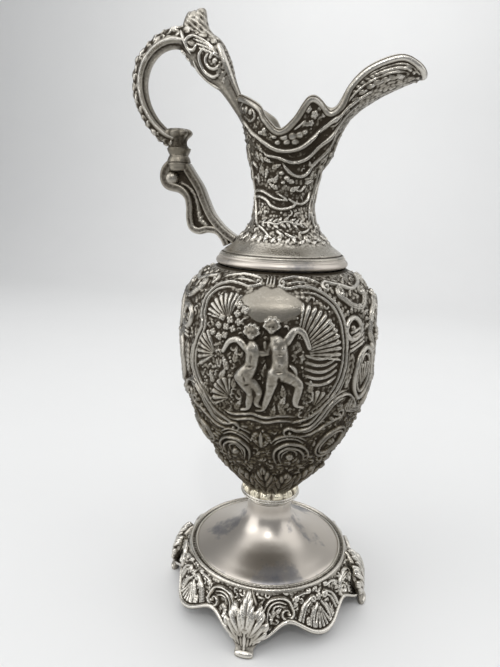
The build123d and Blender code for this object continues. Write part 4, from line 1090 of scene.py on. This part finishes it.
def skirt():
    """The skirt with its four leaf feet."""
    angles, top, slope, way, under = skirt_sheet()
    wall = Chasing(slope, skirt_place)
    wall.out = -wall.out
    ends = way[-1]
    wall.ground[:] = step_up(0.2, 0.8, way) * (1 - step_up(-2.9, -2.3, way - ends))
    skirt_chasing(wall)
    wall.grain(1.4, 0.3)
    wall.height *= 1 - step_up(-3.4, -2.9, way - ends)
    rim = np.clip(1 - ((ends - way - 1.4) / 1.4) ** 2, 0, 1) ** 0.6
    wall.height = np.maximum(wall.height, 1.5 * rim)
    wall.height *= step_up(0, 0.6, way)
    hollow = wall.hollows(2, 6, 1.0) + 0.03
    radius = np.hypot(top[..., 0], top[..., 1])
    trough = np.exp(-((radius - 41.35) / 0.75) ** 4) * (top[..., 2] > 28)
    ticks = trough * (0.6 * np.abs(np.sin(np.radians(angles) * 62)) ** 2 + 0.4 * stipple(top, 0.9))
    top[..., 2] += 0.45 * ticks
    channel = 0.3 + trough * 0.62 - 0.36 * ticks
    points = np.concatenate([top, wall.worked(), under])
    marks = np.concatenate([np.clip(channel, 0, 1), hollow, np.full(under.shape[:2], 0.6)])
    mesh_piece("foot_skirt_cast", [(points[::-1], marks[::-1])], ["foot_skirt"], chased)
    feet = [leaf_foot(foot) for foot in range(0, 360, 90)]
    mesh_piece("leaf_feet_cast", feet, ["foot_skirt"], chased)


# Handle
arch_sections = [(-20.0, 250.5, 2.6, 3.4), (-23.5, 256.0, 2.8, 3.6), (-29.5, 265.5, 4.2, 4.5),
                 (-34.8, 273.5, 7.2, 6.0), (-41.0, 281.0, 8.6, 6.2), (-49.0, 286.0, 6.8, 5.6),
                 (-57.0, 287.0, 5.8, 5.2), (-65.0, 284.0, 5.2, 5.0), (-71.2, 277.5, 5.0, 5.0),
                 (-73.9, 268.5, 4.9, 5.0), (-72.5, 259.0, 4.7, 5.0), (-68.0, 250.5, 4.6, 4.8),
                 (-61.5, 244.2, 4.5, 4.8), (-55.6, 241.6, 4.2, 4.6)]
arch_rows = 300
arch_columns = 145
crest_rows = 40
crest_columns = 181
crest_half = 3.3
crest_outline = [(-52.6, 290.5), (-52.4, 293.6), (-51, 297.0), (-49.4, 298.7), (-46.8, 298.4), (-45.2, 299.6),
                 (-43.2, 300.0), (-41.4, 299.2), (-40.8, 295.4), (-39.2, 291.0), (-35.5, 287.2),
                 (-32.2, 283.6), (-36, 280), (-44, 284)]
cuff_outline = [(0.0, ferrule_high), (5.4, ferrule_high), (4.9, 239.2), (4.6, 241.0), (5.4, 242.6),
                (6.6, 243.8), (7.0, 245.0), (6.2, 246.2), (4.0, 247.0), (0.0, 247.2)]
ferrule_x = -54.2
cuff_x = ferrule_x - 0.4


def bar(sections, rows, columns, square=1.0):
    """Tube along a line in the XZ plane. A section at (x, z, thick, wide) is x = thick cos a, y = wide sin a,
    each raised to a power that squares it, turned to face along the line. Gives the line, the angles a and
    the grid, open at both ends."""
    line = even_line(sections, rows)
    way = unit(np.gradient(line[:, :2], axis=0))
    a = np.linspace(-math.pi, math.pi, columns)
    along = np.sign(np.cos(a)) * np.abs(np.cos(a)) ** square
    across = np.sign(np.sin(a)) * np.abs(np.sin(a)) ** square
    reach = line[:, 2:3] * along
    x = line[:, 0:1] + way[:, 1:2] * reach
    z = line[:, 1:2] - way[:, 0:1] * reach
    return line, a, np.stack([x, line[:, 3:4] * across, z], 2)


def capped(points, marks):
    """A tube's sheet with both ends drawn in to their middles."""
    first = np.repeat(points[0].mean(0)[None, None], points.shape[1], 1)
    last = np.repeat(points[-1].mean(0)[None, None], points.shape[1], 1)
    return np.concatenate([first, points, last]), np.concatenate([marks[:1], marks, marks[-1:]])


def scales(along, across, length, width):
    """Height from 0 to 1 of overlapping round-ended scales: each rises from its root to its free end, and
    each row lies half a scale to the side of the last."""
    row = np.floor(along / length)
    height = np.zeros(np.broadcast(along, across).shape)
    for behind in (0, 1, 2):
        here = row - behind
        start = along / length - here
        middle = np.mod(across / width + 0.5 * np.mod(here, 2), 1) - 0.5
        end = 1.15 + 0.85 * np.sqrt(np.clip(1 - (2 * middle) ** 2, 0, 1))
        height = np.where(start < end, (start / end) ** 1.5 * (1 - 0.8 * (2 * middle) ** 4), height)
    return height


def lens(outline, half):
    """A plate in the XZ plane that is thickest in its middle: its half thickness is half (1 - q⁴)^0.5, where
    q runs from 0 at its centre to 1 on the outline. Fine slanted furrows, a sine, and the skin of the casting
    lie on it. One sheet each side, with its hollows."""
    edge = even_line(outline + outline[:1], crest_columns)
    centre = edge[:-1].mean(0)
    q = np.sin(np.linspace(0, math.pi / 2, crest_rows))[:, None]
    x = centre[0] + q * (edge[:, 0] - centre[0])
    z = centre[1] + q * (edge[:, 1] - centre[1])
    y = half * np.sqrt(1 - q ** 4) + 0 * x
    skin = cast_skin(np.stack([x, y, z], 2), 1.7)
    furrows = 0.6 * np.sin((0.6 * x + 0.8 * z) * 2 * math.pi / 1.9) + 0.9 * skin
    y += 0.42 * furrows * (1 - q ** 6)
    marks = np.clip(0.5 - 0.24 * furrows, 0, 1)
    return [(np.stack([x, -y, z], 2), marks), (np.stack([x, y, z], 2)[:, ::-1], marks[:, ::-1])]


def turned_beside(x, outline, columns=97):
    """Sheet of a round turned about an upright axis at x."""
    return turned(outline, np.linspace(0, 360, columns)) + np.array([x, 0, 0])


def arch_point(line, x, z, side):
    """Point on the arch's side wall seen at (x, z), on the front for side -1 and the back for side 1."""
    here = int(np.argmin(np.hypot(line[:, 0] - x, line[:, 1] - z)))
    way = unit(line[min(here + 1, len(line) - 1), :2] - line[max(here - 1, 0), :2])
    reach = (x - line[here, 0]) * way[1] - (z - line[here, 1]) * way[0]
    share = np.clip(reach / line[here, 2], -0.98, 0.98)
    return (x, side * line[here, 3] * math.sqrt(1 - share ** 2), z)


def arch():
    """The arch of the handle: scaly outside, hollowed inside between two border lines, with a dragon's head
    that has a brow, an eye in a swirl, a jaw and a smooth strap down to the mouth, a crest on its head, and a
    cuff at the other end, lobed by a cosine. A way is in mm along the arch from the mouth."""
    line, a, points = bar(arch_sections, arch_rows, arch_columns)
    wall = Chasing(points)
    way = np.concatenate([[0], np.cumsum(np.hypot(*np.diff(line[:, :2], axis=0).T))])[:, None]
    girth = a[None, :] * 5.0
    outer = 1 - step_up(1.35, 1.6, np.abs(a))[None, :]
    scaly = step_up(36, 44, way) * outer
    head_scales = step_up(16, 22, way) * (1 - step_up(34, 42, way)) * (1 - step_up(1.5, 1.9, np.abs(a)))
    wall.height += scaly * (0.9 * scales(-way, girth, 3.6, 4.4) + 0.35 * pimples(points, 7.0))
    wall.height += head_scales * 0.45 * scales(-way, girth, 2.2, 2.6)
    inner = step_up(1.9, 2.3, np.abs(a))[None, :] * step_up(42, 52, way)
    wall.height -= 1.5 * inner * (1 - step_up(112, 122, way))
    border = np.exp(-((np.abs(a) - 1.75) / 0.11) ** 2) * step_up(38, 50, way) * (1 - step_up(114, 124, way))
    wall.height += 0.8 * border - 1.1 * scaly
    wall.ground = head_scales * (wall.height < 0.3)
    wall.grain(1.2, 0.2)
    for side in (-1, 1):
        def on(*knots):
            return [arch_point(line, x, z, side) for x, z in knots]

        strap = on((-33.5, 282.5), (-30.5, 276), (-27.0, 268), (-23.0, 260), (-20.0, 254))
        wall.ridge(strap, [2.2, 2.0, 1.6, 1.2, 1.0], [1.1, 1.0, 0.8, 0.6, 0.5], ends=(0.8, 1))
        for knots, width, height in [
                ([(-38.5, 283), (-42.5, 278.5), (-40.5, 272.5), (-36, 269.5), (-32.5, 270.5)], 0.8, 1.1),
                ([(-37, 280), (-39.4, 276.8), (-37.8, 273.4), (-34.6, 272.6), (-32.8, 274.6)], 0.7, 1.0),
                ([(-33.6, 279), (-36.2, 278.8), (-37.2, 276.8)], 0.7, 1.2),
                ([(-45.5, 287.5), (-48.8, 285.6), (-48.6, 282), (-45.4, 281), (-43.8, 283.2)], 0.8, 1.1),
                ([(-46, 276.6), (-43, 271.5), (-38.6, 267.6), (-33, 264.6)], 1.0, 0.9),
                ([(-52, 289.5), (-49.8, 284.5), (-47, 279.5)], 0.9, 1.2)]:
            wall.ridge(on(*knots), width, height)
        for step in range(4):
            wall.ridge(on((-46.5 + 1.3 * step, 287.6 - 2.0 * step), (-40 + 1.0 * step, 284.6 - 1.7 * step),
                          (-34.6 + 0.8 * step, 280.6 - 1.2 * step)), 0.5, 0.9)
        for step in range(5):
            wall.ridge(on((-52.6 + 1.5 * step, 281.4 - 2.3 * step), (-50 + 1.6 * step, 279.4 - 2.3 * step)),
                       0.6, 0.7)
        eye = np.array(on((-34.9, 276.0)))
        where = wall.near(eye, 1.6)
        away = np.linalg.norm(points[where] - eye, axis=1) / 1.25
        wall.lay(where, 1.5 * np.sqrt(np.clip(1 - away ** 2, 0, 1)))
    sheets = [capped(wall.worked(), wall.hollows(2, 6, 0.8) + 0.05)]
    sheets += lens(crest_outline, crest_half)
    knob = [(0.0, 292.6), (2.6, 293.6), (3.4, 295.6), (2.6, 297.8), (0, 299.4)]
    sheets.append((turned_beside(-46.8, even_line(knob, 20), 49), 0.4))
    cuff = turned_beside(0, even_line(cuff_outline, 70))
    lobes = np.abs(np.cos(np.arctan2(cuff[..., 1], cuff[..., 0]) * 4)) * step_up(240.5, 244.5, cuff[..., 2])
    cuff[..., :2] *= (0.9 + 0.14 * lobes + 0.05 * cast_skin(cuff, 1.8))[..., None]
    sheets.append((cuff + np.array([cuff_x, 0, 0]), 0.66 - 0.34 * lobes))
    mesh_piece("handle_arch_cast", sheets, ["handle_arch"], chased)


scroll_rows = 160
scroll_inner = [(-48.8, ferrule_low), (-45.3, 226.0), (-41.5, 220.4), (-38.6, 214), (-35.2, 207.4),
                (-30.6, 202), (-26.4, 198.6), (-22.6, 196.2)]
scroll_outer = [(-59.6, ferrule_low), (-61.6, 227), (-62.4, 223), (-60.6, 219.6), (-54.4, 217.8),
                (-50.6, 214.4), (-49.3, 209.6), (-49.2, 204), (-47.9, 199.4), (-44.4, 197.8), (-39.6, 198.8),
                (-34.6, 198.0), (-31.2, 194.6), (-29.6, 191.4)]


def lower_scroll():
    """The lower scroll: a deep web with a chased line of leaves between a smooth strap along its inner side
    and a rounded rim along its outer side, which curls into a volute round a ball."""
    share = np.linspace(0, 1, 60)[:, None, None]
    web = even_line(scroll_inner, scroll_rows) * (1 - share) + even_line(scroll_outer, scroll_rows) * share
    along = np.arange(scroll_rows)
    vein = np.exp(-((share[..., 0] - 0.5) / 0.09) ** 2) * step_up(20, 40, along)
    vein = vein * (1 - step_up(110, 140, along))
    sheets = []
    for side in (-1, 1):
        flat = np.stack([web[..., 0], np.full(web.shape[:2], side * 0.9), web[..., 1]], 2)
        bumps = 0.35 * stipple(flat, 1.5) + 0.9 * vein
        flat[..., 1] += side * bumps
        sheets.append((flat[:, ::side], np.clip(0.98 - 0.5 * bumps, 0, 1)[:, ::side]))
    strap = [(x - 1.3, z - 1.5, 2.2, 4.2) for x, z in scroll_inner]
    rim = [(x + 1.5, z + 0.6, 2.0 + 0.7 * step_up(215, 222, z), 3.75 + 0.5 * step_up(215, 222, z))
           for x, z in scroll_outer]
    rim[0] = (-57.2, ferrule_low, 2.4, 4.2)
    for sections, square in ((strap, 0.6), (rim, 0.75)):
        a, points = bar(sections, scroll_rows, 61, square)[1:]
        wall = Chasing(points)
        groove = np.exp(-((np.abs(np.abs(a) - math.pi / 2)) / 0.5) ** 2) + 0 * points[..., 0]
        wall.height = -0.55 * groove
        sheets.append(capped(wall.worked(), 0.4 + 0.3 * groove))
    ball = [(4.2 * math.sin(turn), 223.4 - 4.2 * math.cos(turn)) for turn in np.linspace(0, math.pi, 24)]
    sheets.append((turned_beside(-57.6, ball, 49), 0.3))
    head = [(0, 226.4), (4.6, 227.0), (5.5, 229.0), (5.4, ferrule_low), (0, ferrule_low)]
    sheets.append((turned_beside(ferrule_x, even_line(head, 40)), 0.42))
    mesh_piece("handle_scroll_cast", sheets, ["handle_scroll"], chased)


# Materials
class Wire:
    """A node's output that takes part in sums as a number does."""

    def __init__(self, finish, socket):
        self.finish = finish
        self.socket = socket

    def sum(self, operation, first, second):
        return self.finish.node("ShaderNodeMath", {"operation": operation}, {0: first, 1: second})

    def __add__(self, other):
        return self.sum("ADD", self, other)

    __radd__ = __add__

    def __sub__(self, other):
        return self.sum("SUBTRACT", self, other)

    def __rsub__(self, other):
        return self.sum("SUBTRACT", other, self)

    def __mul__(self, other):
        return self.sum("MULTIPLY", self, other)

    __rmul__ = __mul__


class Finish:
    """A material under construction."""

    def __init__(self, name):
        self.material = bpy.data.materials.new(name)
        self.material.use_nodes = True
        self.tree = self.material.node_tree
        self.tree.nodes.clear()

    def node(self, kind, settings=None, sockets=None, output=0):
        """Adds a node with its settings, sets or links its sockets, and gives back one output."""
        node = self.tree.nodes.new(kind)
        for setting, value in (settings or {}).items():
            if setting == "stops":
                ramp = node.color_ramp
                while len(ramp.elements) < len(value):
                    ramp.elements.new(0.5)
                for element, (position, shade) in zip(ramp.elements, value):
                    element.position = position
                    element.color = (shade, shade, shade, 1) if isinstance(shade, float) else (*shade, 1)
            else:
                setattr(node, setting, value)
        for socket, value in (sockets or {}).items():
            if isinstance(value, Wire):
                self.tree.links.new(value.socket, node.inputs[socket])
            else:
                node.inputs[socket].default_value = value
        return Wire(self, node.outputs[output])

    def mix(self, share, first, second):
        """Colour between two colours."""
        return self.node("ShaderNodeMix", {"data_type": "RGBA"}, {0: share, 6: first, 7: second}, output=2)

    def noise(self, scale, detail=3.0, rough=0.5):
        """Noise of the place on the object, as a number."""
        place = self.node("ShaderNodeTexCoord", output=3)
        return self.node("ShaderNodeTexNoise", {}, {"Vector": place, "Scale": scale, "Detail": detail,
                                                    "Roughness": rough})

    def ramp(self, value, stops):
        """A number led through a ramp's stops."""
        return self.node("ShaderNodeValToRGB", {"stops": stops}, {0: value})

    def bump(self, strength, distance, height):
        """Normals of a surface bumped by a height."""
        return self.node("ShaderNodeBump", {}, {"Strength": strength, "Distance": distance, "Height": height})

    def done(self, sockets):
        """Links a principled shader with these sockets to the output and returns the material."""
        shader = self.node("ShaderNodeBsdfPrincipled", {}, sockets)
        out = self.tree.nodes.new("ShaderNodeOutputMaterial")
        self.tree.links.new(shader.socket, out.inputs[0])
        return self.material


# Tones of the materials, and the height in metres over which the darkening by height runs
darkening_height = 0.3
silver_tone = (0.45, 0.42, 0.365, 1)
worn_tone = (0.70, 0.67, 0.61, 1)
# The dark of the hollows: brown tarnish, with painted shade where the hollow marks carry it
tarnish_and_shade_tone = (0.03, 0.022, 0.013, 1)
dark_brown_tone = (0.09, 0.075, 0.05, 1)
polished_tone = (0.56, 0.515, 0.46, 1)
stain_tone = (0.17, 0.175, 0.2, 1)
gilt_tone = (0.70, 0.63, 0.45, 1)
thin_gilt_tone = (0.76, 0.72, 0.62, 1)
fold_tone = (0.09, 0.06, 0.03, 1)
dark_steel_tone = (0.36, 0.35, 0.34, 1)
pale_steel_tone = (0.52, 0.51, 0.49, 1)


def chased_silver(name):
    """Cast and chased silver plate: bright where it stands proud, dark brown in its hollows from tarnish and
    from the painted shade that the hollow marks carry, smudged between, and darker and browner at some
    heights than at others."""
    finish = Finish(name)
    hollow = finish.node("ShaderNodeAttribute", {"attribute_name": "hollow"}, output=2)
    smudge = finish.noise(60.0, 4.0, 0.6)
    speck = finish.noise(900.0, 3.0, 0.6)
    grain = finish.noise(1900.0, 2.0, 0.6)
    depth = hollow + (smudge - 0.5) * 0.26 + (speck - 0.5) * 0.34
    dark = finish.ramp(depth, [(0.50, 0.0), (0.60, 0.35), (0.76, 0.98)])
    proud = finish.ramp(depth, [(0.16, 1.0), (0.42, 0.0)])
    place = finish.node("ShaderNodeTexCoord", output=3)
    height = finish.node("ShaderNodeSeparateXYZ", {}, {0: place}, output=2) * (1 / darkening_height)
    # Darkens the colour by height: most over the lower body, fading up to the collar, none on the foot, knop
    # and flange, and again round the upper neck and the handle
    height_darkening = finish.ramp(height, [(0.208, 0.0), (0.225, 1.0), (0.37, 0.95), (0.45, 0.62), (0.60, 0.40),
                               (0.625, 0.0), (0.66, 0.0), (0.71, 0.32), (0.79, 0.72), (0.86, 0.42),
                               (0.92, 0.15)])
    tone = finish.mix(proud, silver_tone, worn_tone)
    darkened = finish.mix(height_darkening * (1.1 - proud * 0.3), tone, dark_brown_tone)
    # Dark hollows: real tarnish and painted shade together
    colour = finish.mix(dark, darkened, tarnish_and_shade_tone)
    rough = 0.26 + dark * 0.35 + (smudge - 0.5) * 0.16 - proud * 0.05 + height_darkening * 0.1
    bump = finish.bump(0.35, 0.00025, grain + speck * 0.8)
    return finish.done({"Base Color": colour, "Metallic": 1 - dark * 0.75, "Roughness": rough,
                        "Specular IOR Level": 0.15, "Normal": bump})


def burnished_silver(name, rough=0.3):
    """Plain polished plate with smudges of tarnish and fine wear."""
    finish = Finish(name)
    smudge = finish.noise(38.0, 5.0, 0.62)
    cloud = finish.noise(14.0, 2.0, 0.5)
    speck = finish.noise(900.0, 3.0, 0.6)
    stain = finish.ramp(smudge * 0.6 + cloud * 0.4, [(0.51, 0.0), (0.545, 0.55), (0.62, 0.95)])
    colour = finish.mix(stain, polished_tone, stain_tone)
    return finish.done({"Base Color": colour, "Metallic": 1.0, "Normal": finish.bump(0.08, 0.0002, speck),
                        "Roughness": rough + stain * 0.14 + (speck - 0.5) * 0.06})


def gilded_petals(name):
    """Worn gilding over cast silver: warm and bright on top, brown in the folds."""
    finish = Finish(name)
    hollow = finish.node("ShaderNodeAttribute", {"attribute_name": "hollow"}, output=2)
    wear = finish.noise(420.0, 3.0, 0.6)
    depth = hollow + (wear - 0.5) * 0.35
    dark = finish.ramp(depth, [(0.42, 0.0), (0.75, 0.9)])
    colour = finish.mix(dark, finish.mix(wear, gilt_tone, thin_gilt_tone), fold_tone)
    return finish.done({"Base Color": colour, "Metallic": 1 - dark * 0.6, "Roughness": 0.26 + dark * 0.3,
                        "Normal": finish.bump(0.2, 0.0002, wear)})


def turned_steel(name):
    """Plain steel of the hidden fixings, with fine turning marks."""
    finish = Finish(name)
    mark = finish.noise(500.0, 3.0, 0.6)
    colour = finish.mix(mark, dark_steel_tone, pale_steel_tone)
    return finish.done({"Base Color": colour, "Metallic": 1.0, "Roughness": 0.3 + mark * 0.2,
                        "Normal": finish.bump(0.2, 0.0002, mark)})


def pale_paper(name, tone):
    """Plain pale paint of the floor and the backdrop."""
    finish = Finish(name)
    fleck = finish.noise(9.0, 3.0, 0.5)
    colour = finish.mix(fleck, (tone, tone, tone * 0.99, 1), (tone * 0.97, tone * 0.97, tone * 0.965, 1))
    return finish.done({"Base Color": colour, "Roughness": 0.55})


chased = chased_silver("chased_silver")
burnished = burnished_silver("burnished_silver")
satin = burnished_silver("satin_silver", 0.4)
steel = turned_steel("turned_steel")
gilded = gilded_petals("gilded_petals")


def body():
    """Both cast halves, the back one seen in the mirror of the seam."""
    wall = body_wall()
    front = wall.worked()
    level = body_path[:, 1:]
    # From 182.4 mm up to the lip the wall is painted darker: painted shadow under the collar. The 0.07
    # darkens the whole body.
    hollow = wall.hollows(3, 11, 1.3) + 0.3 * step_up(182.4, 183.0, level) + 0.07
    plain = 1 - step_up(0.75, 1.0, cloud(np.linspace(-90, 90, body_columns)[None, :], level))
    hollow += plain * (wall.height < 0.1) * (0.42 - hollow)
    middle = body_rows // 2
    for part, rows in (("lower", slice(0, middle + 1)), ("upper", slice(middle, None))):
        mesh_piece("body_front_" + part, [(front[rows], hollow[rows])], ["body_front_half"],
                   chased)
        mesh_piece("body_back_" + part, [(mirrored(front[rows]), hollow[rows, ::-1])], ["body_back_half"],
                   chased)


def turned_pieces():
    """The plain turned pieces on the axis: the dome and the collar."""
    angles = np.linspace(0, 360, plain_columns)
    for name, outline, node, finish in [("foot_dome_shell", dome_outline, "foot_dome", burnished),
                                        ("collar_band", collar_outline, "collar_ring", satin)]:
        mesh_piece(name, [(turned(even_line(outline, outline_rows), angles), 0.45)], [node],
                   finish)


def ferrule():
    """The waisted ring between the arch and the lower scroll, darkened by height as its neighbours are."""
    ring = turned_beside(ferrule_x, even_line(ferrule_outline, 60))
    mesh_piece("ferrule_ring", [(ring, 0.42)], ["handle_ferrule"], chased)


def fixings():
    """Gives the frame's own hidden fixings their steel."""
    for node in ("threaded_boss", "tie_rod", "tie_washer", "tie_nut"):
        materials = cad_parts[node].data.materials
        materials.clear()
        materials.append(steel)


def knop():
    """The knop: a plain foot, a roll of fine beads round its cup, and a gilded ring of petals inside it.
    Beads and petals are cosines round the axis that raise the turned wall."""
    angles = np.linspace(0, 360, knop_columns)
    way = np.radians(angles)[None, :]
    cup = turned(even_line(knop_cup_outline, outline_rows), angles)
    level = cup[..., 2]
    beads = 0.16 * np.abs(np.cos(bead_count / 2 * way)) * np.exp(-((level - 60.1) / 0.45) ** 2)
    cup[..., :2] *= 1 + beads[..., None] / knop_radius
    marks = 0.2 + 0.16 * (level < 58.6) + 0.4 * np.exp(-((level - 58.3) / 0.4) ** 2)
    mesh_piece("knop_cup", [(cup, marks)], ["knop"], chased)
    ring = turned(even_line(petal_outline, petal_rows), angles)
    petal = np.abs(np.cos(petal_count / 2 * way)) ** 0.6
    wall = Chasing(ring)
    share = np.sin(np.linspace(0, math.pi, petal_rows))[:, None]
    wall.height = (1.1 * petal - 0.5) * share + 0.3 * share * np.abs(np.cos(1.5 * petal_count * way))
    skin = cast_skin(ring, 1.9)
    wall.height += 0.5 * share * skin
    marks = np.clip(0.74 - 0.4 * petal - 0.25 * skin, 0, 1)
    mesh_piece("knop_petals", [(wall.worked(), marks)], ["knop"], gilded)


body()
turned_pieces()
knop()
neck()
skirt()
arch()
lower_scroll()
ferrule()
fixings()


# Stage, in metres, and the world's light
floor_half = 2.5
bend_start = 0.9
bend_radius = 0.5
backdrop_top = 2.6
paper_tone = 0.82
world_tone = (0.9, 0.92, 0.95, 1)
world_strength = 0.35


def stage():
    """A pale floor that runs up into a pale backdrop over a quarter of a circle."""
    x = np.linspace(-floor_half, floor_half, 3)
    turn = np.linspace(0, math.pi / 2, 13)
    y = np.concatenate([[-floor_half], bend_start + bend_radius * np.sin(turn), [bend_start + bend_radius]])
    z = np.concatenate([[0.0], bend_radius - bend_radius * np.cos(turn), [backdrop_top]])
    points = np.stack(np.broadcast_arrays(x[None, :], y[:, None], z[:, None]), 2)
    mesh = bpy.data.meshes.new("floor")
    mesh.from_pydata(points.reshape(-1, 3).tolist(), [], quads(*points.shape[:2]).tolist())
    mesh.polygons.foreach_set("use_smooth", np.ones(len(mesh.polygons), bool))
    mesh.materials.append(pale_paper("pale_paper", paper_tone))
    floor = bpy.data.objects.new("floor", mesh)
    bpy.context.scene.collection.objects.link(floor)


def lamp(name, place, aim, size, power):
    """A soft square lamp that faces a point."""
    light = bpy.data.lights.new(name, "AREA")
    light.shape = "SQUARE"
    light.size = size
    light.energy = power
    lamp_object = bpy.data.objects.new(name, light)
    bpy.context.scene.collection.objects.link(lamp_object)
    forward = unit(np.array(aim) - np.array(place))
    side = unit(np.cross(forward, [0, 0, 1.0]))
    up = np.cross(side, forward)
    turn = Matrix([[side[0], up[0], -forward[0], place[0]], [side[1], up[1], -forward[1], place[1]],
                   [side[2], up[2], -forward[2], place[2]], [0, 0, 0, 1]])
    lamp_object.matrix_world = turn


def lights():
    """A large soft lamp overhead, one at each side, a small one in front for the glints, one on the backdrop,
    and a dim even world. Each lamp has its place, the point that it faces, its side in metres and its power
    in watts."""
    for name, place, aim, size, power in [("top_lamp", (-0.2, -0.4, 1.0), (0, 0, 0.12), 1.5, 8),
                                          ("left_lamp", (-0.9, -0.5, 0.45), (0, 0, 0.15), 0.9, 4),
                                          ("right_lamp", (0.8, 0.1, 0.6), (0, 0, 0.15), 1.0, 3.2),
                                          ("spark_lamp", (0.12, -0.7, 0.9), (0, 0, 0.12), 0.07, 1.0),
                                          ("backdrop_lamp", (0.0, 0.55, 1.3), (0, 1.4, 0.6), 0.9, 6)]:
        lamp(name, place, aim, size, power)
    world = bpy.data.worlds.new("studio")
    bpy.context.scene.world = world
    world.use_nodes = True
    background = world.node_tree.nodes["Background"]
    background.inputs[0].default_value = world_tone
    background.inputs[1].default_value = world_strength


def camera():
    """The photograph's camera: its place in metres, its angles in radians and its lens in millimetres."""
    place = (0.0431, -0.2672, 0.2138)
    heading, tilt, roll = 0.2130, 0.2402, 0.0379
    data = bpy.data.cameras.new("camera")
    data.lens = 29.15
    data.clip_start = 0.01
    viewer = bpy.data.objects.new("camera", data)
    bpy.context.scene.collection.objects.link(viewer)
    aim = Matrix.Rotation(heading, 4, "Z") @ Matrix.Rotation(math.pi / 2 - tilt, 4, "X")
    viewer.matrix_world = Matrix.Translation(place) @ aim @ Matrix.Rotation(roll, 4, "Z")
    bpy.context.scene.camera = viewer


stage()
lights()
camera()
bpy.context.scene.view_settings.view_transform = "Standard"
